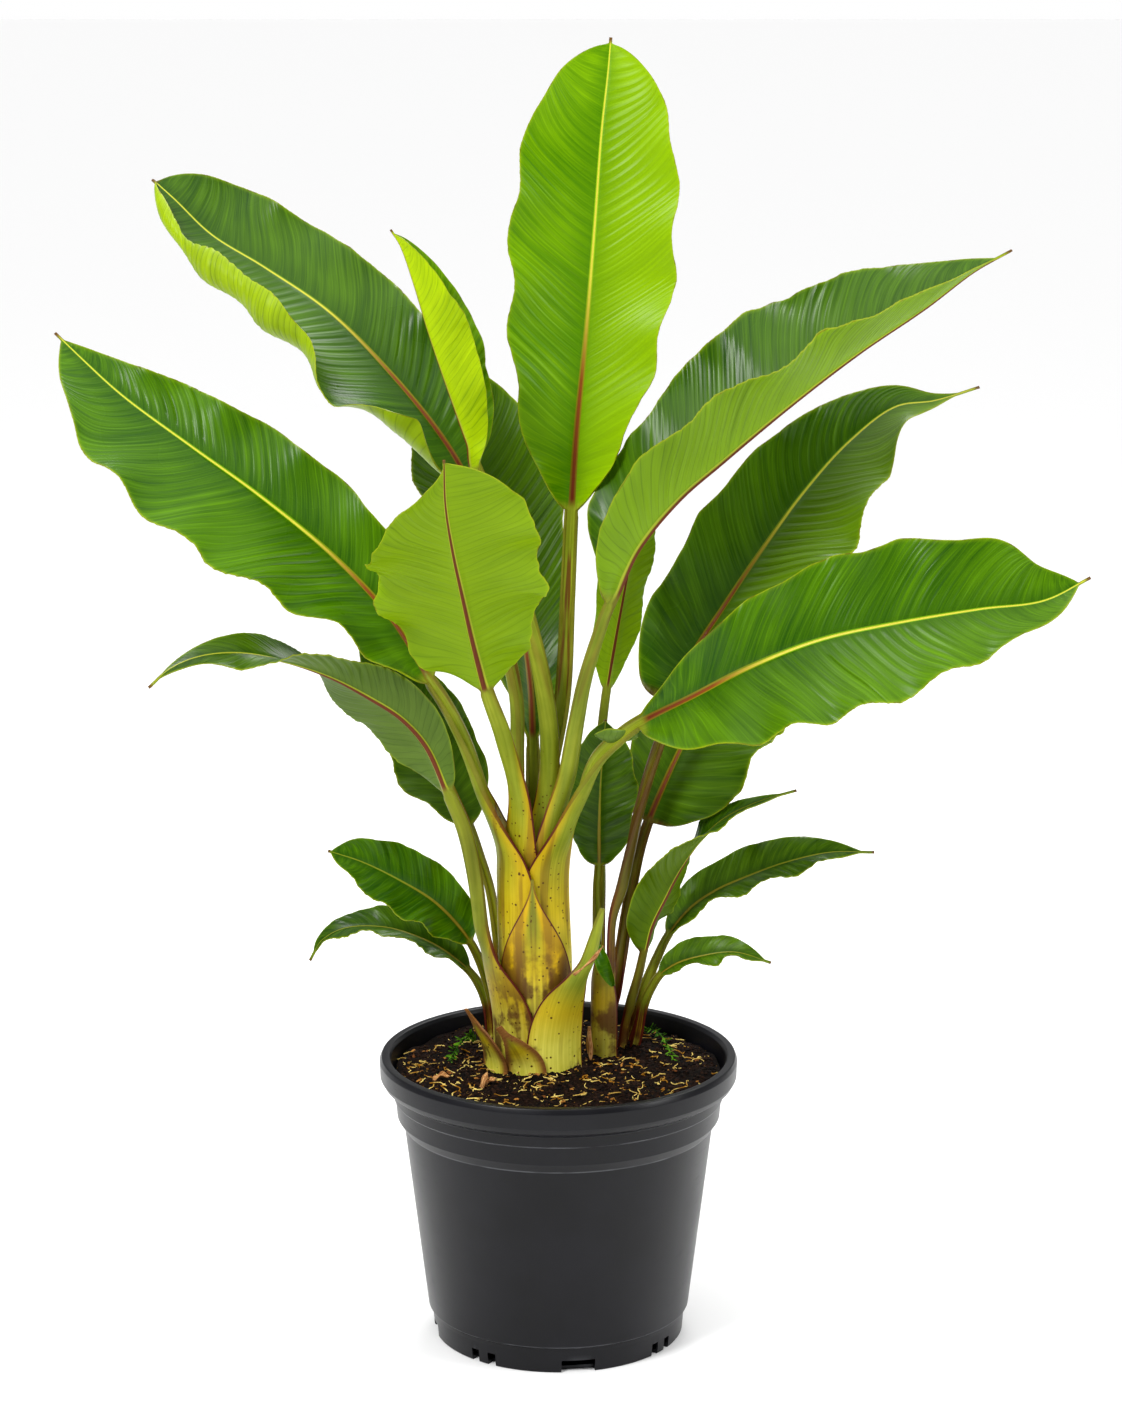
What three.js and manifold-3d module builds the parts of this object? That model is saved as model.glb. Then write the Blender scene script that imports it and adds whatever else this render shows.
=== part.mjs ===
// A young banana plant in a round nursery pot, in millimetres, +Z up, standing on z = 0.
// The pot, the soil, and every leaf, sheath and scale are separate closed solids.
import * as THREE from 'three';
import { mergeVertices } from 'three/addons/utils/BufferGeometryUtils.js';
import Module from 'manifold-3d';

// Driving dimensions
const POT_HEIGHT = 225;
const RIM_RADIUS = 139.5;
const COLLAR_RADIUS = 127.5;
const BODY_TOP_RADIUS = 120;
const BODY_FOOT_RADIUS = 102;
const FOOT_RADIUS = 99;
const WALL = 2.4;
const FLOOR = 3;
const SOIL_LEVEL = 212;
const STEM_HOLE_FLOOR = 200;
const GAP = 0.3;
const POT_SEGMENTS = 44;

// The thick stem is made of nested sheaths, each one LAYER_PITCH inside the last
const STEM_BASE = [-15, 25];
const STEM_LEAN = [-0.019, 0];
const LAYER_PITCH = 3;
const OUTER_LAYER_RADIUS = 43.5;
const SHEATH_THICKNESS = 2;

// Smaller shoots that stand beside it
const SUCKER_BASE = [37, 39];
const THIN_STEMS_BASE = [56, 58];
const BACK_SHOOT_BASE = [33, 66];
const LEFT_SHOOTS_BASE = [-49, 65];

// Leaf sections
const BLADE_THICKNESS = 0.8;
const RIB_DEPTH = 4.6;
const RIB_HALF_WIDTH = 4;
const STALK_HALF_WIDTH = 5.5;
const STALK_DEPTH = 7.5;
const STALK_EDGE = 2.4;
const STALK_CUP = 62;
const TIP_HALF_WIDTH = 1;
const TIP_THICKNESS = 1.3;
const STALK_NARROWING = 0.85;
const SCALLOP = 0.035;
const SCALLOP_SHIFTS = [2.1, 4.4];

// Shares of its length at which a sheath starts to thicken into its stalk, and a blade is fully open
const STALK_FORMS = 0.72;
const BLADE_OPEN = 0.12;

const degrees = (angle) => (angle * Math.PI) / 180;
const mix = (a, b, t) => a + (b - a) * t;
const clamp01 = (t) => Math.min(1, Math.max(0, t));
const smooth = (t) => clamp01(t) ** 2 * (3 - 2 * clamp01(t));

// Solids and materials

const wasm = await Module();
wasm.setup();

function solidFrom(geometry) {
  const bare = geometry.clone();
  bare.deleteAttribute('normal');
  bare.deleteAttribute('uv');
  const merged = mergeVertices(bare, 1e-4);
  const corners = merged.index.array;
  const kept = [];
  for (let i = 0; i < corners.length; i += 3) {
    const [a, b, c] = [corners[i], corners[i + 1], corners[i + 2]];
    if (a !== b && b !== c && c !== a) kept.push(a, b, c);
  }
  return new wasm.Manifold(new wasm.Mesh({
    numProp: 3,
    vertProperties: new Float32Array(merged.attributes.position.array),
    triVerts: new Uint32Array(kept),
  }));
}

function geometryFrom(solid) {
  const mesh = solid.getMesh();
  const geometry = new THREE.BufferGeometry();
  geometry.setAttribute('position', new THREE.BufferAttribute(new Float32Array(mesh.vertProperties), 3));
  geometry.setIndex(new THREE.BufferAttribute(new Uint32Array(mesh.triVerts), 1));
  return geometry;
}

function finish(color, roughness) {
  return new THREE.MeshStandardMaterial({ color, roughness, metalness: 0 });
}

const finishes = {
  pot: () => finish(0x26282b, 0.55),
  soil: () => finish(0x2a1b10, 0.95),
  fresh: () => finish(0x76b51a, 0.4),
  dark: () => finish(0x2f6d1c, 0.38),
  mid: () => finish(0x43861f, 0.4),
  pale: () => finish(0x7fa53c, 0.55),
  sheath: () => finish(0xb6a72a, 0.45),
  dried: () => finish(0x8a5a34, 0.75),
};

function lathe(profile, segments) {
  const points = profile.map(([radius, height]) => new THREE.Vector2(radius, height));
  return new THREE.LatheGeometry(points, segments).rotateX(Math.PI / 2);
}

// Pot

const potOutside = [
  [FOOT_RADIUS - 1, 0],
  [FOOT_RADIUS + 1, 13],
  [BODY_FOOT_RADIUS, 15],
  [BODY_TOP_RADIUS, 163],
  [COLLAR_RADIUS - 1.8, 172],
  [COLLAR_RADIUS, 194],
  [RIM_RADIUS - 2, 203],
  [RIM_RADIUS, 208],
  [RIM_RADIUS, 221],
  [RIM_RADIUS - 2, POT_HEIGHT],
];

const potInside = [
  [RIM_RADIUS - 10, POT_HEIGHT],
  [COLLAR_RADIUS - WALL, 192],
  [COLLAR_RADIUS - 1.8 - WALL, 172],
  [BODY_TOP_RADIUS - WALL, 160],
  [BODY_FOOT_RADIUS - WALL, 15],
  [FOOT_RADIUS - WALL, FLOOR],
];

// Drainage notches round the foot: four wide ones and a pair of narrow ones between them
const NOTCH_HEIGHT = 8;
const NOTCH_WIDE = 26;
const NOTCH_NARROW = 7;
const NOTCH_FIRST = -81;
const NOTCH_PAIR_SPREAD = 4.5;

function notchCutter(azimuth, width) {
  const depth = 14;
  const box = new THREE.BoxGeometry(depth, width, NOTCH_HEIGHT * 2);
  box.translate(FOOT_RADIUS - 1, 0, 0);
  box.rotateZ(degrees(azimuth));
  return solidFrom(box);
}

function potGeometry() {
  let pot = solidFrom(lathe([[0, 0], ...potOutside, ...potInside, [0, FLOOR]], POT_SEGMENTS));
  for (let quarter = 0; quarter < 4; quarter += 1) {
    const azimuth = NOTCH_FIRST + quarter * 90;
    pot = pot.subtract(notchCutter(azimuth, NOTCH_WIDE));
    pot = pot.subtract(notchCutter(azimuth + 45 - NOTCH_PAIR_SPREAD, NOTCH_NARROW));
    pot = pot.subtract(notchCutter(azimuth + 45 + NOTCH_PAIR_SPREAD, NOTCH_NARROW));
  }
  return geometryFrom(pot);
}

// Soil, with an uneven top and plain holes that the stems stand in

const SOIL_TOP_RADIUS = 126.5;
const SOIL_RINGS = [118, 98, 76, 50, 24];

const stemHoles = [
  { centre: [-17, 21], radius: 43 },
  { centre: SUCKER_BASE, radius: 14 },
  { centre: THIN_STEMS_BASE, radius: 13 },
  { centre: BACK_SHOOT_BASE, radius: 8 },
  { centre: LEFT_SHOOTS_BASE, radius: 15 },
];

// Ripples of the soil's top: height, radians per millimetre along x and along y, and phase
const SOIL_RIPPLES = [
  [1.4, 0.059, 0.048, 1.3],
  [1.1, 0.137, 0.11, 0],
  [0.7, 0.192, -0.156, 1.6],
];

function soilHeight(x, y) {
  let height = 0;
  for (const [rise, perX, perY, phase] of SOIL_RIPPLES) {
    height += rise * Math.sin(x * perX + y * perY + phase);
  }
  return height;
}

function soilGeometry() {
  const wall = potInside.slice(1).map(([radius, height]) => [radius - GAP * 1.3, height]).reverse();
  wall[0][1] = FLOOR + GAP;
  const top = [[SOIL_TOP_RADIUS - 2, SOIL_LEVEL], ...SOIL_RINGS.map((radius) => [radius, SOIL_LEVEL])];
  const geometry = lathe([[0, FLOOR + GAP], ...wall, ...top, [0, SOIL_LEVEL]], POT_SEGMENTS);
  const position = geometry.attributes.position;
  for (let i = 0; i < position.count; i += 1) {
    if (position.getZ(i) > SOIL_LEVEL - 0.01) {
      position.setZ(i, SOIL_LEVEL + soilHeight(position.getX(i), position.getY(i)));
    }
  }
  let soil = solidFrom(geometry);
  const cutterHeight = 40;
  const cutterSides = 24;
  for (const hole of stemHoles) {
    const cutter = new THREE.CylinderGeometry(hole.radius, hole.radius, cutterHeight, cutterSides);
    cutter.rotateX(Math.PI / 2);
    cutter.translate(hole.centre[0], hole.centre[1], STEM_HOLE_FLOOR + cutterHeight / 2);
    soil = soil.subtract(solidFrom(cutter));
  }
  return geometryFrom(soil);
}

// Leaves. Each is one loft along its spine: a sheath round the stem, a channelled stalk, and a blade.
// Of each pair of values, the first is for the left half, seen on the upper side with the tip up.

// Half-width of a blade, as a share of its widest, at a share t of its length
function bladeOutline(t, { widest = 0.45, base = 2.2, baseRound = 0.62, tip = 2.3, tipRound = 0.95 }) {
  if (t < widest) {
    return (1 - ((widest - t) / widest) ** base) ** baseRound;
  }
  return Math.max(0, 1 - ((t - widest) / (1 - widest)) ** tip) ** tipRound;
}

// The value at share t of a short list that is spread evenly along a leaf
function along(list, t) {
  const place = clamp01(t) * (list.length - 1);
  const index = Math.min(list.length - 2, Math.floor(place));
  return mix(list[index], list[index + 1], place - index);
}

function directionAlong(vectors, t) {
  return new THREE.Vector3(
    along(vectors.map((v) => v[0]), t),
    along(vectors.map((v) => v[1]), t),
    along(vectors.map((v) => v[2]), t),
  ).normalize();
}

const ringRadius = (leaf) => leaf.ring ?? OUTER_LAYER_RADIUS - LAYER_PITCH * leaf.layer;

// Points up the stem, on the ring that this leaf's sheath lies in
function sheathPoints(leaf) {
  const foot = leaf.foot ?? STEM_BASE;
  const lean = leaf.lean ?? STEM_LEAN;
  const radius = ringRadius(leaf);
  const angle = degrees(leaf.azimuth);
  return leaf.sheathHeights.map((z) => {
    const rise = z - SOIL_LEVEL;
    const x = foot[0] + lean[0] * rise + radius * Math.cos(angle);
    const y = foot[1] + lean[1] * rise + radius * Math.sin(angle);
    return [x, y, z];
  });
}

// The spine, with the lengths along it where the sheath ends and the blade starts
function spineOf(leaf) {
  const sheath = sheathPoints(leaf);
  const stalk = leaf.stalk ?? [];
  const blade = leaf.blade ?? [];
  const points = [...sheath, ...stalk, ...blade];
  const places = points.map((point) => new THREE.Vector3(...point));
  const curve = new THREE.CatmullRomCurve3(places, false, 'centripetal');
  const perPoint = 40;
  const lengths = curve.getLengths(perPoint * (points.length - 1));
  const lengthAt = (index) => lengths[Math.min(lengths.length - 1, perPoint * index)];
  return {
    curve,
    total: lengths[lengths.length - 1],
    sheathEnd: lengthAt(sheath.length - 1 + (leaf.sheathRuns ?? 0)),
    bladeStart: blade.length ? lengthAt(sheath.length + stalk.length) : lengths[lengths.length - 1],
  };
}

// A section is half-widths, how it bends from its middle to its margins, and how thick it is
function sheathSection(leaf, share) {
  const radius = ringRadius(leaf);
  const stalk = leaf.stalkHalfWidth ?? STALK_HALF_WIDTH;
  const closed = smooth(share) ** (leaf.opening ?? 3);
  const half = leaf.wrap.map((angle) => mix(radius * degrees(angle), stalk, closed));
  const thick = leaf.blade || leaf.stalk ? smooth((share - STALK_FORMS) / (1 - STALK_FORMS)) : 0;
  const bend = degrees(leaf.blade || leaf.stalk ? STALK_CUP : 0);
  return {
    half,
    fold: 0,
    cup: half.map((width) => mix(width / radius, Math.max(bend, width / radius), thick)),
    curl: [0, 0],
    middle: mix(SHEATH_THICKNESS, leaf.stalkDepth ?? STALK_DEPTH, thick),
    edge: mix(SHEATH_THICKNESS * 0.8, STALK_EDGE, thick),
    ribShare: 1,
    wave: 0,
  };
}

function stalkSection(leaf, share) {
  const stalk = leaf.stalkHalfWidth ?? STALK_HALF_WIDTH;
  const end = leaf.blade ? STALK_NARROWING : TIP_HALF_WIDTH / stalk;
  const depth = leaf.stalkDepth ?? STALK_DEPTH;
  const width = mix(stalk, stalk * end, leaf.blade ? share : share ** 2);
  return {
    half: [width, width],
    fold: 0,
    cup: [degrees(STALK_CUP), degrees(STALK_CUP)],
    curl: [0, 0],
    middle: mix(depth, leaf.blade ? depth * 0.8 : TIP_THICKNESS * 1.5, share),
    edge: mix(STALK_EDGE, STALK_EDGE * 0.7, share),
    ribShare: 1,
    wave: 0,
  };
}

function bladeSection(leaf, share) {
  const start = smooth(share / BLADE_OPEN);
  const stalk = (leaf.stalkHalfWidth ?? STALK_HALF_WIDTH) * STALK_NARROWING;
  const depth = (leaf.stalkDepth ?? STALK_DEPTH) * 0.8;
  const outlines = [leaf.outline, leaf.outlineRight ?? leaf.outline];
  const shares = outlines.map((outline) => bladeOutline(share, outline));
  const narrowest = mix(stalk, TIP_HALF_WIDTH, smooth(share / 0.5));
  const [count, , phase] = leaf.waves;
  const turn = 2 * Math.PI * count * share + phase;
  const scallops = SCALLOP_SHIFTS.map((shift) => 1 + SCALLOP * Math.sin(turn + shift));
  const half = leaf.half.map((width, side) => Math.max(width * shares[side] * scallops[side], narrowest));
  const bends = leaf.cup ?? [[8, 8], [8, 8]];
  const curls = leaf.curl ?? [[0, 0], [0, 0]];
  return {
    half,
    fold: degrees(along(leaf.fold, share)) * start,
    cup: bends.map((list) => mix(degrees(STALK_CUP), degrees(along(list, share)), start)),
    curl: curls.map((list) => degrees(along(list, share)) * start),
    middle: mix(mix(depth, RIB_DEPTH, start), TIP_THICKNESS, share),
    edge: mix(STALK_EDGE * 0.7, BLADE_THICKNESS, start),
    ribShare: Math.min(1, mix(RIB_HALF_WIDTH, 1.2, share) / Math.max(half[0], half[1])),
    wave: start * Math.min(1, 1.3 * Math.min(shares[0], shares[1])),
  };
}

function sectionAt(leaf, spine, length) {
  const { sheathEnd, bladeStart, total } = spine;
  if (length <= sheathEnd) return sheathSection(leaf, length / sheathEnd);
  if (length < bladeStart) return stalkSection(leaf, (length - sheathEnd) / (bladeStart - sheathEnd));
  if (!leaf.blade) return stalkSection(leaf, 1);
  return bladeSection(leaf, (length - bladeStart) / (total - bladeStart));
}

// Places across one half of a section, from the middle to the margin, as shares of the half-width
function acrossShares(cells, ribShare) {
  const first = Math.min(1 / cells, ribShare);
  return Array.from({ length: cells + 1 }, (_, i) => (i === 0 ? 0 : mix(first, 1, (i - 1) / (cells - 1))));
}

const CURL_POWER = 5;
const slopeAt = (section, side, share) =>
  section.fold + section.cup[side] * share + section.curl[side] * share ** CURL_POWER;

// Walks from the middle of a section to its margin, and notes each place that a row of points needs
function walkSide(section, side, cells) {
  const steps = 24;
  const length = section.half[side] / steps;
  const shares = acrossShares(cells, section.ribShare);
  const places = [{ share: 0, out: 0, up: 0, slope: section.fold }];
  let out = 0;
  let up = 0;
  for (let i = 0; i < steps; i += 1) {
    const slope = slopeAt(section, side, (i + 0.5) / steps);
    while (places.length <= cells && shares[places.length] <= (i + 1) / steps + 1e-9) {
      const share = shares[places.length];
      const part = (share * steps - i) * length;
      places.push({
        share,
        out: out + Math.cos(slope) * part,
        up: up + Math.sin(slope) * part,
        slope: slopeAt(section, side, share),
      });
    }
    out += Math.cos(slope) * length;
    up += Math.sin(slope) * length;
  }
  return places;
}

function thicknessAt(section, share) {
  if (section.ribShare === 1) return mix(section.middle, section.edge, share ** 1.5);
  return mix(section.middle, section.edge, smooth(share / section.ribShare));
}

// Lengths along the spine at which the leaf has a row of points
function rowLengths(leaf, spine) {
  const list = [];
  const spread = (from, to, count, power) => {
    for (let i = 0; i < count; i += 1) list.push(mix(from, to, (i / count) ** power));
  };
  spread(0, spine.sheathEnd, leaf.sheathRows ?? 5, 0.7);
  if (spine.bladeStart > spine.sheathEnd) spread(spine.sheathEnd, spine.bladeStart, leaf.stalkRows ?? 3, 1);
  if (leaf.blade) spread(spine.bladeStart, spine.total, leaf.bladeRows ?? 14, 1.1);
  return [...list, spine.total];
}

// Which way the leaf's upper side looks: to the stem's middle at first, then as its list says
function facingAt(leaf, spine, length, tangent) {
  const angle = degrees(leaf.azimuth);
  const inward = new THREE.Vector3(-Math.cos(angle), -Math.sin(angle), 0);
  const turnStart = spine.sheathEnd * 0.75;
  const turn = smooth((length - turnStart) / Math.max(1, spine.bladeStart - turnStart));
  const bladeShare = (length - spine.bladeStart) / Math.max(1, spine.total - spine.bladeStart);
  const facing = leaf.face ? inward.lerp(directionAlong(leaf.face, bladeShare), turn) : inward;
  return facing.addScaledVector(tangent, -facing.dot(tangent)).normalize();
}

function rowOfPoints(leaf, spine, length) {
  const cells = leaf.cells ?? 4;
  const section = sectionAt(leaf, spine, length);
  const centre = spine.curve.getPointAt(length / spine.total);
  const tangent = length > 0 ? spine.curve.getTangentAt(length / spine.total) : new THREE.Vector3(0, 0, 1);
  const facing = facingAt(leaf, spine, length, tangent);
  const across = new THREE.Vector3().crossVectors(tangent, facing);
  const bladeShare = clamp01((length - spine.bladeStart) / Math.max(1, spine.total - spine.bladeStart));
  const [count, height, phase] = leaf.waves ?? [0, 0, 0];
  const upper = [];
  const lower = [];
  for (const side of [0, 1]) {
    const sign = side === 0 ? -1 : 1;
    const places = walkSide(section, side, cells);
    const swing = height * section.wave * Math.sin(2 * Math.PI * count * bladeShare + phase + sign * 1.1);
    for (const place of side === 0 ? places.slice(1).reverse() : places) {
      const normal = facing.clone().multiplyScalar(Math.cos(place.slope));
      normal.addScaledVector(across, -sign * Math.sin(place.slope));
      const point = centre.clone().addScaledVector(across, sign * place.out);
      point.addScaledVector(facing, place.up);
      point.addScaledVector(normal, swing * place.share ** 2.2);
      upper.push(point);
      lower.push(point.clone().addScaledVector(normal, -thicknessAt(section, place.share)));
    }
  }
  return { upper, lower };
}

// Skins rows of upper and lower points into one closed body, split alike on both sides
function loftGeometry(rows) {
  const width = rows[0].upper.length;
  const ring = width * 2;
  const points = rows.flatMap((row) => [...row.upper, ...row.lower]);
  const faces = [];
  const quad = (a, b, c, d) => faces.push(a, b, c, a, c, d);
  for (let row = 0; row + 1 < rows.length; row += 1) {
    const here = row * ring;
    const next = here + ring;
    for (let i = 0; i + 1 < width; i += 1) {
      quad(here + i, here + i + 1, next + i + 1, next + i);
      const low = here + width + i;
      const nextLow = next + width + i;
      faces.push(low, nextLow + 1, low + 1, low, nextLow, nextLow + 1);
    }
    const last = width - 1;
    quad(here, next, next + width, here + width);
    quad(here + last, here + width + last, next + width + last, next + last);
  }
  const end = (rows.length - 1) * ring;
  for (let i = 0; i + 1 < width; i += 1) {
    quad(i, width + i, width + i + 1, i + 1);
    quad(end + i, end + i + 1, end + width + i + 1, end + width + i);
  }
  const geometry = new THREE.BufferGeometry();
  const numbers = points.flatMap((point) => point.toArray());
  geometry.setAttribute('position', new THREE.Float32BufferAttribute(numbers, 3));
  geometry.setIndex(faces);
  return geometry;
}

function leafGeometry(leaf) {
  const spine = spineOf(leaf);
  return loftGeometry(rowLengths(leaf, spine).map((length) => rowOfPoints(leaf, spine, length)));
}

const FOOT = STEM_HOLE_FLOOR + GAP;

// Leaves of the thick stem, from the outermost layer to the innermost
const stemLeaves = [
  {
    name: 'leaf_left_droop', finish: 'dark', layer: 3, azimuth: 200, wrap: [66, 50],
    sheathHeights: [FOOT, 250], sheathRuns: 2,
    stalk: [[-56, 10, 297], [-59, 6, 330], [-65, 0, 372], [-73, -7, 408]],
    blade: [[-84, -8, 435], [-101, -12, 474], [-120, -22, 498], [-142, -30, 515], [-171, -38, 533],
      [-201, -44, 545], [-237, -52, 553], [-267, -56, 551], [-289, -58, 542], [-305, -60, 528]],
    face: [[0.1, 0.8, 0.4], [-0.1, 0.9, 0.4], [0, 0.45, 0.9], [0, -0.6, 0.8], [0, -0.7, 0.7]],
    half: [28, 38], outline: { widest: 0.5, tip: 1.9, tipRound: 1 },
    outlineRight: { widest: 0.42, tip: 1.5, tipRound: 1.3 },
    fold: [14, 12, 12], waves: [4, 3, 0], bladeRows: 14, cells: 3,
  },
  {
    name: 'sheath_front_old', finish: 'sheath', layer: 4, azimuth: 266, wrap: [62, 62], opening: 4,
    sheathHeights: [FOOT, 280, 366], stalkHalfWidth: 1,
  },
  {
    name: 'leaf_left', finish: 'mid', layer: 5, azimuth: 190, wrap: [85, 88], opening: 8,
    sheathHeights: [FOOT, 290, 360], sheathRuns: 3,
    stalk: [[-46, 18, 384], [-51, 13, 412], [-58, 6, 436], [-72, -6, 477], [-87, -13, 508]],
    blade: [[-97, -16, 524], [-126, -16, 572], [-169, -8, 618], [-225, 2, 663], [-276, 14, 698],
      [-331, 30, 736], [-363, 42, 763], [-383, 50, 781]],
    face: [[0.5, -0.75, 0.4], [0.4, -0.8, 0.5], [0.35, -0.8, 0.5]],
    half: [82, 50], outline: { widest: 0.5, tip: 2.7, tipRound: 0.95 },
    outlineRight: { widest: 0.5, tip: 2, tipRound: 1 },
    fold: [24, 10, 8], cup: [[10, 6, 10], [10, 6, 10]], waves: [6, 4, 1.5], bladeRows: 18,
  },
  {
    name: 'leaf_right_low', finish: 'mid', layer: 6, azimuth: 310, wrap: [76, 88], stalkHalfWidth: 6,
    sheathHeights: [FOOT, 290, 370], sheathRuns: 2,
    stalk: [[6, -6, 405], [17, -12, 438], [29, -20, 464], [45, -28, 482]],
    blade: [[60, -35, 495], [99, -48, 518], [142, -62, 544], [193, -74, 567], [251, -84, 582],
      [309, -90, 593], [355, -94, 600], [388, -94, 617]],
    face: [[-0.3, -0.8, 0.5], [-0.25, -0.85, 0.45], [-0.25, -0.85, 0.45]],
    half: [58, 72], outline: { widest: 0.6, base: 1.7, baseRound: 0.8, tip: 3, tipRound: 0.85 },
    outlineRight: { widest: 0.35, base: 2, baseRound: 0.6, tip: 1.8, tipRound: 0.9 },
    fold: [26, 10, 8], cup: [[10, 6, 8], [10, 6, 8]], waves: [6, 4, 0], bladeRows: 18,
  },
  {
    name: 'leaf_front_round', finish: 'pale', layer: 7, azimuth: 232, wrap: [60, 60],
    sheathHeights: [FOOT, 300, 380], sheathRuns: 2,
    stalk: [[-31, 2, 427], [-41, -14, 478]],
    blade: [[-54, -32, 520], [-63, -58, 562], [-70, -86, 603], [-76, -116, 641], [-80, -146, 679],
      [-80, -172, 714]],
    face: [[0.1, 0.85, 0.45], [0.1, 0.8, 0.6], [0, 0.7, 0.75]],
    half: [66, 64], outline: { widest: 0.55, base: 2, baseRound: 0.6, tip: 2.6, tipRound: 0.65 },
    outlineRight: { widest: 0.4, base: 2.2, baseRound: 0.55, tip: 2, tipRound: 0.8 },
    fold: [10, 4, 4], cup: [[-6, -10, -8], [-6, -10, -8]], waves: [4, 3, 0.4], bladeRows: 13, cells: 3,
  },
  {
    name: 'leaf_right_high', finish: 'dark', layer: 8, azimuth: 305, wrap: [70, 85], stalkHalfWidth: 6.5,
    sheathHeights: [FOOT, 300, 360], sheathRuns: 2,
    stalk: [[-1, 6, 415], [7, 4, 449], [13, 0, 488], [19, -3, 522], [30, -6, 561]],
    blade: [[38, -8, 583], [61, -10, 627], [91, -12, 664], [121, -10, 690], [173, -6, 733],
      [225, 0, 772], [274, 8, 804], [311, 14, 831], [339, 18, 846]],
    face: [[-0.6, 0.1, 0.8], [-0.45, -0.1, 0.9], [-0.35, -0.1, 0.9]],
    half: [84, 58], outline: { widest: 0.5, base: 2, baseRound: 0.5, tip: 2.4, tipRound: 0.9 },
    outlineRight: { widest: 0.4, base: 2, baseRound: 0.5, tip: 2, tipRound: 1 },
    fold: [48, 42, 30], cup: [[14, 10, 10], [14, 10, 10]], waves: [5, 3, 0], bladeRows: 16,
  },
  {
    name: 'leaf_unfurling', finish: 'fresh', layer: 9, azimuth: 262, wrap: [85, 64], stalkHalfWidth: 6.5,
    sheathHeights: [FOOT, 300, 360], sheathRuns: 2,
    stalk: [[-9, 13, 425], [-7, 13, 472], [-11, 12, 511], [-18, 9, 551], [-29, 3, 599], [-45, -5, 653]],
    blade: [[-60, -10, 685], [-79, -16, 738], [-95, -20, 786], [-107, -24, 827], [-116, -26, 853],
      [-123, -27, 864]],
    face: [[0.9, -0.1, 0.3], [0.95, 0, 0.3], [0.95, 0, 0.3]],
    half: [32, 36], outline: { widest: 0.5, base: 1.8, baseRound: 0.7, tip: 2, tipRound: 1 },
    fold: [74, 66, 60], cup: [[20, 16, 10], [20, 16, 10]], waves: [3, 3, 0], bladeRows: 11,
  },
  {
    name: 'leaf_back', finish: 'dark', layer: 10, azimuth: 78, wrap: [75, 75], stalkHalfWidth: 5,
    sheathHeights: [FOOT, 300, 380], sheathRuns: 1,
    stalk: [[-19, 39, 430]],
    blade: [[-20, 44, 462], [-22, 62, 505], [-30, 88, 555], [-44, 114, 604], [-62, 138, 657],
      [-81, 158, 712], [-98, 174, 763]],
    face: [[0.1, -0.9, 0.35], [0.25, -0.8, 0.5], [0.3, -0.75, 0.55]],
    half: [60, 58], outline: { widest: 0.62, base: 1.4, baseRound: 0.8 },
    fold: [14, 10, 10], waves: [4, 4, 1], bladeRows: 12, cells: 3,
  },
  {
    name: 'leaf_upper_left', finish: 'dark', layer: 11, azimuth: 172, wrap: [60, 50],
    sheathHeights: [FOOT, 300, 380], sheathRuns: 1,
    stalk: [[-30, 26, 452], [-31, 29, 500], [-40, 35, 546], [-53, 46, 607]],
    blade: [[-71, 60, 667], [-91, 70, 700], [-129, 88, 745], [-177, 108, 791], [-229, 130, 824],
      [-273, 148, 849], [-302, 160, 875], [-320, 168, 890]],
    face: [[0.45, -0.7, 0.55], [0.4, -0.7, 0.6], [0.3, -0.75, 0.6]],
    half: [100, 56], outline: { widest: 0.42, base: 2.4, baseRound: 0.5, tip: 2.2, tipRound: 0.8 },
    outlineRight: { widest: 0.5, tip: 2.8, tipRound: 0.7 },
    fold: [24, 8, 6], cup: [[10, 6, 6], [8, 8, 8]], curl: [[90, 20, 190, 190], [0, 0, 0, 0]],
    waves: [5, 4, 2], bladeRows: 16, cells: 5,
  },
  {
    name: 'leaf_upright', finish: 'fresh', layer: 13, azimuth: 65, wrap: [80, 80],
    sheathHeights: [FOOT, 300, 380], sheathRuns: 1,
    stalk: [[-8, 28, 440], [3, 27, 502], [7, 30, 578]],
    blade: [[10, 38, 645], [14, 46, 707], [22, 58, 790], [28, 70, 865], [33, 82, 932], [38, 92, 977],
      [40, 98, 1001]],
    face: [[-0.15, -1, 0.1], [0.05, -1, 0.2], [0, -1, 0.3]],
    half: [65, 63], outline: { widest: 0.58, base: 2.2, baseRound: 0.65, tip: 2.7, tipRound: 0.62 },
    fold: [22, 8, 6], cup: [[14, 10, 16], [14, 10, 16]], waves: [6, 4, 0.6], bladeRows: 18,
  },
];

// Short sheaths without a blade, round the foot of the thick stem
const footSheaths = [
  {
    name: 'scale_left', finish: 'dried', layer: 0, azimuth: 214, wrap: [22, 22], opening: 2, cells: 3,
    sheathHeights: [FOOT, 220], sheathRuns: 2, stalk: [[-58, -6, 240], [-71, -12, 264]], stalkHalfWidth: 1,
    stalkDepth: 1.4,
  },
  {
    name: 'scale_front', finish: 'dried', layer: 1, azimuth: 252, wrap: [26, 20], opening: 2, cells: 3,
    sheathHeights: [FOOT, 218], sheathRuns: 2, stalk: [[-34, -18, 234], [-46, -20, 252]], stalkHalfWidth: 1,
    stalkDepth: 1.4,
  },
  {
    name: 'sheath_front_right', finish: 'sheath', layer: 2, azimuth: 296, wrap: [34, 40],
    sheathHeights: [FOOT, 235], sheathRuns: 3, stalkHalfWidth: 4.5, stalkDepth: 5,
    stalk: [[5, -9, 262], [14, -9, 284], [23, -7, 302], [29, -4, 321], [34, -2, 342]],
  },
];

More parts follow.
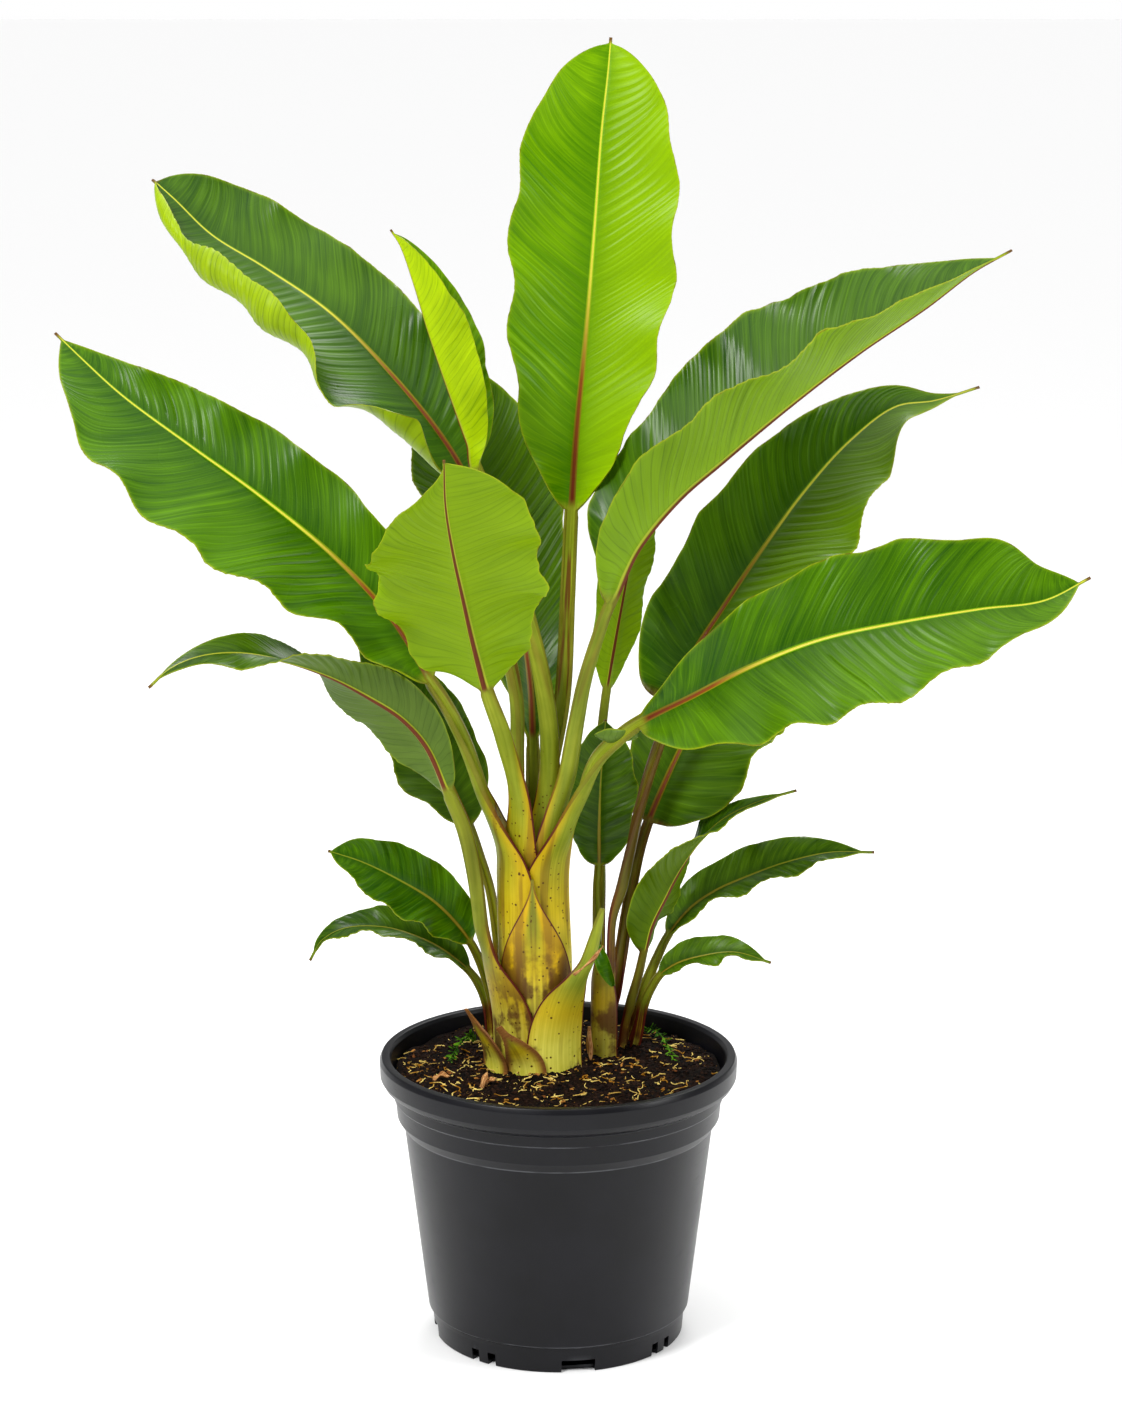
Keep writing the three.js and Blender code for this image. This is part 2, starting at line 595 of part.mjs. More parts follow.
// Leaves of the smaller shoots
const STRAIGHT = [0, 0];
const THIN_STALK = { stalkHalfWidth: 3, stalkDepth: 4.5, cells: 3, sheathRows: 3 };
const shootLeaves = [
  {
    name: 'sucker_sheath', finish: 'sheath', ring: 10, foot: SUCKER_BASE, lean: STRAIGHT, azimuth: 250,
    wrap: [75, 75], opening: 5, cells: 3, sheathHeights: [FOOT, 250, 302], stalkHalfWidth: 3,
  },
  {
    name: 'leaf_right_middle', finish: 'dark', ring: 6, foot: SUCKER_BASE, lean: STRAIGHT, azimuth: 330,
    wrap: [55, 55], stalkHalfWidth: 4.5, stalkDepth: 6,
    sheathHeights: [FOOT, 280], sheathRuns: 2,
    stalk: [[43, 36, 325], [49, 36, 351], [60, 37, 403], [71, 39, 441], [80, 41, 468]],
    blade: [[88, 44, 493], [102, 50, 527], [129, 58, 569], [158, 68, 611], [192, 80, 656],
      [227, 92, 693], [263, 104, 718], [295, 112, 722], [330, 118, 732]],
    face: [[-0.5, -0.8, 0.3], [-0.45, -0.8, 0.4], [-0.3, -0.8, 0.5], [-0.1, -0.7, 0.7]],
    half: [53, 68], outline: { widest: 0.36, baseRound: 0.3, tip: 1.6, tipRound: 1.8 },
    outlineRight: { widest: 0.5, tip: 1.8, tipRound: 1.8 },
    fold: [20, 10, 8], waves: [5, 4, 0.8], bladeRows: 17,
  },
  {
    name: 'leaf_right_behind', finish: 'dark', ring: 6, foot: SUCKER_BASE, lean: STRAIGHT, azimuth: 75,
    wrap: [40, 40], stalkHalfWidth: 4, stalkDepth: 5, cells: 3,
    sheathHeights: [FOOT, 235], sheathRuns: 2,
    stalk: [[45, 48, 258], [50, 50, 293], [56, 54, 333], [64, 60, 372]],
    blade: [[71, 65, 394], [83, 72, 422], [99, 84, 454], [122, 100, 493], [148, 118, 534],
      [173, 134, 572]],
    face: [[-0.3, -0.85, 0.3], [-0.3, -0.85, 0.3]],
    half: [36, 58], outline: { widest: 0.45, baseRound: 0.4 },
    fold: [18, 10, 8], waves: [3, 3, 0], bladeRows: 11,
  },
  {
    name: 'leaf_small_ovate', finish: 'dark', ring: 6, foot: SUCKER_BASE, lean: STRAIGHT, azimuth: 160,
    wrap: [38, 38], stalkHalfWidth: 3.2, stalkDepth: 4.5, cells: 3,
    sheathHeights: [FOOT, 240], sheathRuns: 1,
    stalk: [[31, 45, 302], [31, 50, 345]],
    blade: [[32, 52, 362], [32, 54, 392], [33, 57, 425], [35, 60, 454], [37, 63, 477]],
    face: [[0, -1, 0.1], [0, -1, 0.2]],
    half: [28, 29], outline: { widest: 0.55, baseRound: 0.5, tip: 2, tipRound: 0.8 },
    fold: [14, 8, 8], waves: [3, 2, 0], bladeRows: 9,
  },
  {
    name: 'leaf_pale_behind', finish: 'pale', ring: 3, foot: BACK_SHOOT_BASE, lean: STRAIGHT, azimuth: 270,
    wrap: [70, 70], ...THIN_STALK,
    sheathHeights: [FOOT, 230], sheathRuns: 1,
    stalk: [[33, 66, 347], [32, 72, 410], [34, 80, 461]],
    blade: [[38, 86, 496], [46, 94, 543], [54, 102, 585], [63, 112, 631], [71, 122, 674],
      [75, 132, 712]],
    face: [[-0.1, 1, 0.1], [-0.1, 1, 0]],
    half: [19, 21], outline: { widest: 0.42, tip: 2, tipRound: 1 },
    fold: [10, 8, 8], waves: [4, 2, 0], bladeRows: 11,
  },
  {
    name: 'leaf_small_curled', finish: 'pale', ring: 3, foot: [50, 55], lean: [0.1, 0], azimuth: 302,
    wrap: [70, 70], ...THIN_STALK,
    sheathHeights: [FOOT, 225], sheathRuns: 1,
    stalk: [[57, 50, 250], [63, 46, 274]],
    blade: [[67, 43, 294], [72, 40, 317], [83, 36, 342], [95, 33, 367], [110, 31, 389], [132, 30, 408],
      [161, 30, 421], [185, 30, 428]],
    face: [[-0.5, 0.8, 0.4], [-0.5, 0.7, 0.6], [-0.3, -0.3, 0.9], [-0.2, -0.6, 0.8]],
    half: [22, 26], outline: { widest: 0.35, tip: 1.6, tipRound: 1.2 },
    fold: [14, 14, 14], waves: [4, 2, 0], bladeRows: 12,
  },
  {
    name: 'leaf_small_right', finish: 'dark', ring: 3, foot: [52, 60], lean: [0.3, 0], azimuth: 75,
    wrap: [70, 70], ...THIN_STALK,
    sheathHeights: [FOOT, 225], sheathRuns: 1,
    stalk: [[68, 60, 258], [78, 59, 284]],
    blade: [[87, 59, 303], [104, 60, 325], [124, 62, 339], [148, 66, 349], [180, 70, 360],
      [215, 74, 367], [251, 78, 366]],
    face: [[-0.3, -0.7, 0.6], [-0.2, -0.75, 0.65], [0, -0.75, 0.65]],
    half: [22, 15], outline: { widest: 0.5, tip: 2, tipRound: 1.2 },
    fold: [20, 14, 14], waves: [4, 2.5, 0], bladeRows: 11,
  },
  {
    name: 'leaf_small_lowest', finish: 'dark', ring: 3, foot: [60, 49], lean: [0.2, -0.2], azimuth: 75,
    wrap: [70, 70], ...THIN_STALK,
    sheathHeights: [FOOT, 225], sheathRuns: 1,
    stalk: [[68, 46, 252], [74, 43, 266]],
    blade: [[80, 40, 276], [92, 34, 287], [111, 28, 295], [138, 22, 300], [166, 16, 293]],
    face: [[-0.3, -0.7, 0.7], [-0.1, -0.7, 0.7]],
    half: [15, 11], outline: { widest: 0.45, tip: 1.8, tipRound: 1 },
    fold: [18, 14, 14], waves: [3, 2, 0], bladeRows: 9,
  },
  {
    name: 'leaf_left_behind', finish: 'dark', ring: 3, foot: [-41, 56], lean: [-0.04, 0], azimuth: 122,
    wrap: [70, 70], ...THIN_STALK,
    sheathHeights: [FOOT, 230], sheathRuns: 1,
    stalk: [[-48, 58, 299], [-54, 59, 340], [-62, 60, 368]],
    blade: [[-70, 62, 392], [-85, 68, 425], [-105, 76, 462], [-123, 86, 492], [-141, 96, 516],
      [-160, 104, 531]],
    face: [[0.4, -0.85, 0.3], [0.4, -0.85, 0.35]],
    half: [42, 36], outline: { widest: 0.42 },
    fold: [16, 10, 8], waves: [3, 3, 0], bladeRows: 10,
  },
  {
    name: 'leaf_left_lower', finish: 'mid', ring: 3, foot: [-48, 62], lean: [-0.04, 0], azimuth: 115,
    wrap: [70, 70], ...THIN_STALK,
    sheathHeights: [FOOT, 225], sheathRuns: 1,
    stalk: [[-53, 63, 250], [-58, 62, 268], [-64, 60, 285]],
    blade: [[-70, 57, 298], [-81, 53, 315], [-99, 47, 335], [-124, 40, 353], [-153, 32, 370],
      [-179, 24, 381]],
    face: [[0.35, -0.8, 0.4], [0.3, -0.8, 0.5]],
    half: [28, 27], outline: { widest: 0.5, tip: 2.4, tipRound: 0.8 },
    fold: [16, 10, 8], waves: [4, 2.5, 0], bladeRows: 11,
  },
  {
    name: 'leaf_left_lowest', finish: 'dark', ring: 3, foot: [-54, 70], lean: [-0.04, 0], azimuth: 105,
    wrap: [70, 70], ...THIN_STALK,
    sheathHeights: [FOOT, 225], sheathRuns: 1,
    stalk: [[-58, 73, 245], [-64, 73, 259]],
    blade: [[-72, 74, 270], [-91, 76, 286], [-112, 80, 296], [-139, 84, 303], [-171, 88, 301],
      [-190, 90, 290], [-200, 90, 273]],
    face: [[0.2, -0.5, 0.8], [0.1, -0.4, 0.9], [0, -0.5, 0.8]],
    half: [19, 19], outline: { widest: 0.4, tip: 1.8, tipRound: 1 },
    fold: [20, 16, 16], waves: [4, 2.5, 0], bladeRows: 10,
  },
];

const object = new THREE.Group();

function add(name, geometry, material) {
  const mesh = new THREE.Mesh(geometry, material);
  mesh.name = name;
  object.add(mesh);
}

add('pot', potGeometry(), finishes.pot());
add('soil', soilGeometry(), finishes.soil());
for (const leaf of [...footSheaths, ...stemLeaves, ...shootLeaves]) {
  add(leaf.name, leafGeometry(leaf), finishes[leaf.finish]());
}

export default object;
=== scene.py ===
# %% [markdown]
# # A young banana plant in a nursery pot
#
# The real object has three kinds of surface: a moulded plastic pot, crumbly soil, and a plant that is
# nothing but leaves. Even its thick stem is only the lower parts of its leaves, wrapped round each
# other like a rolled newspaper. This lesson makes them in that order, from the outside in.
#
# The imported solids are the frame. They fix every place and size, and each piece made here stands
# exactly where one of them stands.

# %% The frame
import math

import bpy
import numpy as np
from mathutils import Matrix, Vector
from mathutils.noise import fractal


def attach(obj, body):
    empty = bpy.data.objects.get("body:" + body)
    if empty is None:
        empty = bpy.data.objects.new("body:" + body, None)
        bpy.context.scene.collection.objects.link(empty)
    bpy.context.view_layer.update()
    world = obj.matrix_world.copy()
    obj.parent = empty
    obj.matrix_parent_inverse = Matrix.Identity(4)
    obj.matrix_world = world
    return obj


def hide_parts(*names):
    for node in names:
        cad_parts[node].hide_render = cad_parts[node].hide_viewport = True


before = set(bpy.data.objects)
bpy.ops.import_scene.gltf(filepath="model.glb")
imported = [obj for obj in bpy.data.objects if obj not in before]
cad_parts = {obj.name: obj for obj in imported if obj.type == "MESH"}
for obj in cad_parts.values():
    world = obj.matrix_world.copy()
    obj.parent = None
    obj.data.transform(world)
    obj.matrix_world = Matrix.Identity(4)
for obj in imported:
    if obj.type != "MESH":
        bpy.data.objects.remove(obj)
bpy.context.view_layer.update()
MM = 0.001
print("solids:", len(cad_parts))

# %% [markdown]
# ## Camera, light and floor
#
# The photo was taken from about two and a half metres away, a little above the plant, with a long
# lens, so the rim of the pot is a narrow ellipse. The camera repeats that. The picture is taller than
# it is wide, so the lens is worked out for its long side.

# %% Camera
SENSOR = 36.0
PICTURE_HEIGHT = 1402
FOCAL_PIXELS = 3347
CAMERA_PLACE = (0.002, -2.5, 1.032)
CAMERA_TILT = 11.9


def add_object(name, data):
    """A new object in the scene, which shows the data."""
    made = bpy.data.objects.new(name, data)
    bpy.context.collection.objects.link(made)
    return made


camera_data = bpy.data.cameras.new("camera")
camera_data.sensor_width = SENSOR
camera_data.lens = FOCAL_PIXELS / PICTURE_HEIGHT * SENSOR
camera = add_object("camera", camera_data)
camera.location = CAMERA_PLACE
camera.rotation_euler = (math.radians(90 - CAMERA_TILT), 0, 0)
bpy.context.scene.camera = camera
print("lens, mm:", round(camera_data.lens, 2))

# %% Light and floor
FLOOR_HALF = 150.0
PLANT_MIDDLE = (0, 0, 0.5)


def soft_lamp(name, place, size, watts):
    """A square lamp that looks at the middle of the plant."""
    data = bpy.data.lights.new(name, "AREA")
    data.size = size
    data.energy = watts
    lamp = add_object(name, data)
    lamp.location = place
    lamp.rotation_euler = (Vector(PLANT_MIDDLE) - Vector(place)).to_track_quat("-Z", "Y").to_euler()


soft_lamp("key_lamp", (-1.5, -1.7, 2.6), 0.8, 70)
soft_lamp("side_lamp", (2.3, -0.9, 1.7), 0.9, 26)
soft_lamp("back_lamp", (0.4, 2.2, 2.6), 1.2, 36)

# The room is white at eye level, greyer above it, and bright overhead
ROOM_LIGHT = ((0.0, 1.0), (0.04, 1.0), (0.1, 0.3), (0.55, 0.35), (0.75, 1.6), (1.0, 1.9))
world = bpy.data.worlds.new("studio")
world.use_nodes = True
room = world.node_tree
height = room.nodes.new("ShaderNodeSeparateXYZ")
room.links.new(room.nodes.new("ShaderNodeTexCoord").outputs["Generated"], height.inputs[0])
light = room.nodes.new("ShaderNodeFloatCurve")
points = light.mapping.curves[0].points
light.mapping.clip_max_y = 2
while len(points) < len(ROOM_LIGHT):
    points.new(0.5, 0.5)
for point, place in zip(points, ROOM_LIGHT):
    point.location = place
light.mapping.update()
room.links.new(height.outputs["Z"], light.inputs["Value"])
room.links.new(light.outputs[0], room.nodes["Background"].inputs["Strength"])
room.nodes["Background"].inputs["Color"].default_value = (1, 1, 1, 1)
bpy.context.scene.world = world

# Plain colours, as a product photograph has them
bpy.context.scene.view_settings.view_transform = "Standard"

floor_mesh = bpy.data.meshes.new("floor")
corners = [(-FLOOR_HALF, -FLOOR_HALF, 0), (FLOOR_HALF, -FLOOR_HALF, 0)]
corners += [(FLOOR_HALF, FLOOR_HALF, 0), (-FLOOR_HALF, FLOOR_HALF, 0)]
floor_mesh.from_pydata(corners, [], [(0, 1, 2, 3)])
floor = add_object("floor", floor_mesh)
floor_paint = bpy.data.materials.new("pale floor")
floor_paint.use_nodes = True
floor_shader = floor_paint.node_tree.nodes["Principled BSDF"]
floor_shader.inputs["Base Color"].default_value = (0.9, 0.9, 0.9, 1)
floor_shader.inputs["Roughness"].default_value = 0.9
floor_mesh.materials.append(floor_paint)
print("lamps:", len(bpy.data.lights), "and a floor", 2 * FLOOR_HALF, "m wide")

# %% [markdown]
# ## Small tools for node trees
#
# A material and a Geometry Nodes tree are both graphs. Making each node by hand takes three lines, so
# these helpers make one in a single call, and give back what comes out of it. A number that comes out
# of a node is wrapped, so that a sum such as first + second makes the node that adds them.

# %% Node helpers


def srgb(red, green, blue):
    """A colour as a screen shows it, 0 to 255, turned into the linear values that a shader wants."""
    def linear(value):
        share = value / 255
        return share / 12.92 if share <= 0.04045 else ((share + 0.055) / 1.055) ** 2.4
    return (linear(red), linear(green), linear(blue), 1)


class Value:
    """What a node gives. A sum or a product of values is a node too, so finishes read as formulas."""

    def __init__(self, socket):
        self.socket = socket

    def __add__(self, other):
        return calc(self.socket.id_data, "ADD", self, other)

    def __sub__(self, other):
        return calc(self.socket.id_data, "SUBTRACT", self, other)

    def __rsub__(self, other):
        return calc(self.socket.id_data, "SUBTRACT", other, self)

    def __mul__(self, other):
        return calc(self.socket.id_data, "MULTIPLY", self, other)

    def __truediv__(self, other):
        return calc(self.socket.id_data, "DIVIDE", self, other)


def put(tree, socket, value):
    """Feeds a socket from another socket, or sets it to a plain value."""
    if isinstance(value, Value):
        value = value.socket
    if isinstance(value, bpy.types.NodeSocket):
        tree.links.new(value, socket)
    elif value is not None:
        socket.default_value = value


def node(tree, kind, inputs=None, **settings):
    """A new node, with its settings and its inputs by name or number."""
    made = tree.nodes.new(kind)
    for name, value in settings.items():
        setattr(made, name, value)
    for key, value in (inputs or {}).items():
        put(tree, made.inputs[key], value)
    return made


def field(tree, kind, inputs=None, **settings):
    """The first thing that a new node gives."""
    return Value(node(tree, kind, inputs, **settings).outputs[0])


def calc(tree, operation, first, second=None):
    return field(tree, "ShaderNodeMath", {0: first, 1: second}, operation=operation)


def vector_calc(tree, operation, first, second):
    return field(tree, "ShaderNodeVectorMath", {0: first, 1: second}, operation=operation)


def blend(tree, share, first, second, mode="MIX"):
    made = node(tree, "ShaderNodeMix", {0: share, 6: first, 7: second}, data_type="RGBA", blend_type=mode)
    return made.outputs[2]


def fade(tree, value, low, high, smooth=True):
    """0 below low, 1 above high, and the other way round where low is the larger."""
    kind = "SMOOTHSTEP" if smooth else "LINEAR"
    return field(tree, "ShaderNodeMapRange", {0: value, 1: low, 2: high}, interpolation_type=kind)


def noise(tree, vector, scale, detail=2.0, roughness=0.5):
    inputs = {"Vector": vector, "Scale": scale, "Detail": detail, "Roughness": roughness}
    return Value(node(tree, "ShaderNodeTexNoise", inputs).outputs["Fac"])


def vector_of(tree, x, y, z=0.0):
    return field(tree, "ShaderNodeCombineXYZ", {0: x, 1: y, 2: z})


def ramp(tree, value, stops):
    """A colour that changes along a value. Each stop is a place and a colour."""
    made = node(tree, "ShaderNodeValToRGB", {0: value})
    elements = made.color_ramp.elements
    while len(elements) < len(stops):
        elements.new(0.5)
    for element, (place, color) in zip(elements, stops):
        element.position = place
        element.color = color
    return made.outputs[0]


def attribute(tree, name):
    made = node(tree, "ShaderNodeAttribute", attribute_name=name, attribute_type="GEOMETRY")
    return Value(made.outputs["Fac"])


def object_place(tree):
    return node(tree, "ShaderNodeTexCoord").outputs["Object"]


def new_group(name, inputs, outputs, kind="ShaderNodeTree"):
    """A group with its sockets by name. Gives the tree and its input and output nodes."""
    tree = bpy.data.node_groups.new(name, kind)
    for way, sockets in (("INPUT", inputs), ("OUTPUT", outputs)):
        for label, socket in sockets.items():
            tree.interface.new_socket(label.replace("_", " "), in_out=way, socket_type=socket)
    return tree, tree.nodes.new("NodeGroupInput"), tree.nodes.new("NodeGroupOutput")


def use(tree, group, **inputs):
    """Places a group in a tree, with its inputs by name. Underscores stand for spaces."""
    made = tree.nodes.new("ShaderNodeGroup")
    made.node_tree = group
    for name, value in inputs.items():
        put(tree, made.inputs[name.replace("_", " ")], value)
    return made


def effect(tree, group, **inputs):
    """The one value that a group works out."""
    return Value(use(tree, group, **inputs).outputs[0])


NUMBER = "NodeSocketFloat"
VECTOR = "NodeSocketVector"

# %% [markdown]
# ## Effects that several finishes share
#
# Three effects turn up again and again on this object: fine streaks that run along a leaf or a fibre,
# small dark specks, and slow cloudy changes of tone. Each is one group of shader nodes, built once and
# placed in each material with its own values.

# %% Streaks, specks and mottle


def make_streaks():
    tree, given, out = new_group(
        "streaks", dict(Along=NUMBER, Across=NUMBER, Fineness=NUMBER, Stretch=NUMBER),
        dict(Fine=NUMBER, Broad=NUMBER))
    along = Value(given.outputs["Along"]) * given.outputs["Fineness"]
    across = Value(given.outputs["Across"]) * given.outputs["Stretch"]
    put(tree, out.inputs["Fine"], noise(tree, vector_of(tree, along, across), 1.0, 3.0, 0.6))
    wide = along * 0.22
    put(tree, out.inputs["Broad"], noise(tree, vector_of(tree, wide, across, 7.0), 1.0, 2.0))
    return tree


def make_specks():
    tree, given, out = new_group(
        "specks", dict(Vector=VECTOR, Scale=NUMBER, Size=NUMBER, Share=NUMBER), dict(Mask=NUMBER))
    where = {name: given.outputs[name] for name in ("Vector", "Scale")}
    cells = node(tree, "ShaderNodeTexVoronoi", where)
    larger = Value(given.outputs["Size"]) * 1.5
    dot = fade(tree, cells.outputs["Distance"], larger, given.outputs["Size"])
    pick = field(tree, "ShaderNodeSeparateColor", {0: cells.outputs["Color"]})
    kept = calc(tree, "LESS_THAN", pick, given.outputs["Share"])
    put(tree, out.inputs["Mask"], dot * kept)
    return tree


def make_mottle():
    tree, given, out = new_group("mottle", dict(Vector=VECTOR, Scale=NUMBER), dict(Value=NUMBER))
    cloud = noise(tree, given.outputs["Vector"], given.outputs["Scale"], 3.0, 0.55)
    put(tree, out.inputs["Value"], fade(tree, cloud, 0.3, 0.7))
    return tree


VEIN_PITCH = 0.0054


def make_veins():
    """Fine lines side by side along a leaf's veins, a little uneven, 1 on a line and 0 between."""
    tree, given, out = new_group("veins", dict(Along=NUMBER, Across=NUMBER), dict(Line=NUMBER))
    slow = vector_of(tree, Value(given.outputs["Along"]) * 45.0, given.outputs["Across"], 3.0)
    drift = noise(tree, slow, 1.0, 1.0) * 7.0
    turn = Value(given.outputs["Along"]) * (math.pi / VEIN_PITCH)
    wave = calc(tree, "ABSOLUTE", calc(tree, "SINE", turn + drift))
    put(tree, out.inputs["Line"], fade(tree, wave, 0.34, 0.0))
    return tree


STREAKS = make_streaks()
VEINS = make_veins()
SPECKS = make_specks()
MOTTLE = make_mottle()


def new_material(name):
    """A material with its tree and its Principled shader."""
    material = bpy.data.materials.new(name)
    material.use_nodes = True
    return material, material.node_tree, material.node_tree.nodes["Principled BSDF"]


def add_bump(tree, shader, height, strength, distance):
    bump = node(tree, "ShaderNodeBump", {"Height": height, "Strength": strength, "Distance": distance})
    put(tree, shader.inputs["Normal"], bump.outputs[0])


print("shared effects:", ", ".join(group.name for group in bpy.data.node_groups))

# %% [markdown]
# ## The leaf finish
#
# A banana leaf is waxy and deep green above, and paler and duller below. Its veins leave the midrib at
# an angle and run side by side to a thin yellow margin. The midrib is yellow near the tip and turns red
# brown towards the stalk. The stalk and the sheath are yellow-green, streaked with red brown.
#
# Every leaf mesh below carries what this needs as attributes, measured on the leaf itself: how far a
# point is from the midrib and from the margin, where along the leaf it is, and which side it is on. So
# one function makes the finish of every leaf, and only its colours change.

# %% Leaf colours
BARK = srgb(92, 38, 20)
MAUVE = srgb(100, 46, 22)
YELLOW = srgb(206, 166, 0)
RED_LINE = srgb(82, 28, 16)
RIB_YELLOW = srgb(196, 188, 58)
# How far the midrib's colour reaches to each side, in metres
RIB_AT_STALK = 0.0026
RIB_AT_TIP = 0.0007
LEAF_LOOKS = {
    "fresh": dict(deep=srgb(46, 100, 0), light=srgb(120, 166, 0), under=srgb(172, 200, 0), shine=0.08),
    "mid": dict(deep=srgb(26, 68, 0), light=srgb(92, 140, 0), under=srgb(130, 168, 10), shine=0.12),
    "dark": dict(deep=srgb(22, 54, 0), light=srgb(88, 124, 12), under=srgb(90, 116, 38), shine=0.13),
    "gloss": dict(deep=srgb(22, 60, 0), light=srgb(86, 128, 6), under=srgb(122, 160, 0), shine=0.18),
    "rolled": dict(deep=srgb(22, 60, 0), light=srgb(86, 128, 6), under=srgb(156, 184, 0), shine=0.16),
    "pale": dict(deep=srgb(58, 98, 0), light=srgb(112, 148, 8), under=srgb(126, 158, 4), shine=0.1),
    # Painted shade: a darker copy of the green looks, for a small leaf in shade whose underside shows.
    "dull": dict(deep=srgb(30, 66, 0), light=srgb(80, 116, 6), under=srgb(84, 110, 0), shine=0.12),
    "sheath": dict(deep=srgb(120, 132, 30), light=srgb(160, 165, 60), under=srgb(150, 160, 60), shine=0.2),
    "dried": dict(deep=srgb(84, 44, 18), light=srgb(158, 108, 54), under=srgb(118, 70, 34), shine=0.1),
}

# %% Leaf finishes
FACTS = ("share", "edge", "across", "vein", "place", "painted_light", "under", "rust", "gold", "size")


def blade_color(tree, look, facts, streaks, clouds):
    """The blade's green: streaked along its veins, paler under, a lighter rim, painted shade by the
    midrib, painted light on a lit half.
    """
    fine = fade(tree, streaks.outputs["Fine"], 0.3, 0.7)
    broad = fade(tree, streaks.outputs["Broad"], 0.3, 0.7)
    tone = fine * 0.22 + facts["line"] * 0.2 + broad * 0.28 + clouds * 0.3
    # Painted shade: the blade is painted darker near the midrib, in its fold.
    painted_rib_shade = fade(tree, facts["share"], 0.0, 0.45)
    tone = tone * (painted_rib_shade * 0.45 + 0.55)
    upper = blend(tree, tone, look["deep"], look["light"])
    lined = tone * 0.55 + facts["line"] * 0.16
    lower = blend(tree, lined, look["under"], look["deep"])
    color = blend(tree, facts["under"], upper, lower)
    rim = fade(tree, facts["margin"], 0.004, 0.0) * 0.22
    color = blend(tree, rim, color, srgb(140, 170, 16))
    # Painted light: one half of the blade is painted paler towards its margin, as if lit.
    return blend(tree, facts["painted_light"] * 0.6, color, srgb(156, 194, 0))


def rib_color(tree, look, facts):
    """The midrib: yellow near the tip, red brown near the stalk, with darker sides."""
    reach = facts["rust"] * 0.9 + 0.35
    part = facts["place"] / calc(tree, "MINIMUM", reach, 0.8)
    middle = ramp(tree, part, [(0.0, srgb(92, 32, 16)), (0.35, srgb(126, 66, 20)), (0.62, RIB_YELLOW)])
    sides = ramp(tree, part, [(0.0, srgb(104, 70, 14)), (0.35, srgb(128, 120, 20)), (0.7, look["light"])])
    middle = blend(tree, fade(tree, facts["size"], 0.9, 0.4), middle, srgb(132, 122, 34))
    upper = blend(tree, fade(tree, facts["from_rib"], 0.3, 0.7), middle, sides)
    lower = blend(tree, fade(tree, facts["from_rib"], 0.45, 0.75), MAUVE, srgb(164, 174, 44))
    return blend(tree, facts["under"], upper, lower)


def stalk_ground(tree, facts, grain):
    """Green above, paler and more golden down the sheath, and purple brown where it is weathered. The
    palest part, low down, is partly painted light that lifts the shade among the sheaths.
    """
    patches = effect(tree, MOTTLE, Vector=object_place(tree), Scale=26.0)
    tone = fade(tree, grain.outputs["Fine"], 0.2, 0.8) * 0.6 + patches * 0.4
    green = blend(tree, tone, srgb(96, 112, 10), srgb(150, 158, 42))
    mellow = blend(tree, tone, srgb(166, 144, 6), srgb(216, 188, 26))
    # Partly painted light: the palest colour, low on the sheath, is raised to lift the shade that falls
    # there.
    light = blend(tree, tone, srgb(184, 178, 34), srgb(240, 234, 104))
    pale = blend(tree, fade(tree, facts["place"], -1.4, -1.75), mellow, light)
    color = blend(tree, fade(tree, facts["place"], -1.15, -1.5), green, pale)
    weathered = fade(tree, facts["rust"], 0.5, 1.2) * fade(tree, facts["gold"], 0.8, 0.5)
    weathered = weathered * fade(tree, grain.outputs["Broad"], 0.62, 0.42)
    return blend(tree, weathered * 0.85, color, srgb(70, 32, 14))


def golden_share(tree, facts, grain, in_sheath):
    """How golden a sheath is, which is more towards its margins."""
    reach = facts["share"] + facts["gold"] * 0.35
    golden = fade(tree, reach, 0.6, 1.3) * facts["gold"]
    golden = golden * (Value(grain.outputs["Broad"]) + 0.5)
    return field(tree, "ShaderNodeClamp", {0: golden * in_sheath, 2: 0.9})


def worn_share(tree, facts, grain, in_sheath):
    """Where the outer side is rubbed brown, in long patches."""
    outer = 1.0 - facts["under"] * 0.5
    worn = Value(grain.outputs["Broad"]) + facts["rust"] * 0.16 + in_sheath * 0.04
    return fade(tree, worn, 0.64, 0.76) * outer * 0.85


def stain_share(tree, facts, grain):
    """Red brown blotches low on the sheath."""
    broad = Value(grain.outputs["Broad"])
    blotches = noise(tree, object_place(tree), 42.0, 4.0, 0.6)
    stain = broad * 0.4 + facts["rust"] * 0.2 + blotches * 0.9 + facts["share"] * 0.1
    depth = facts["place"] - facts["rust"] * 0.25
    stain = fade(tree, stain, 0.79, 0.93) * fade(tree, depth, -1.35, -1.8)
    return stain * 0.85


def speck_share(tree, grain, in_sheath):
    """Small dark dots and flecks on the sheath."""
    sizes = noise(tree, object_place(tree), 160.0) * 0.42
    dots = effect(tree, SPECKS, Vector=object_place(tree), Scale=330.0, Size=sizes, Share=0.16)
    flecks = fade(tree, grain.outputs["Fine"], 0.7, 0.8)
    marks = calc(tree, "MAXIMUM", dots, flecks * 0.5)
    return marks * in_sheath


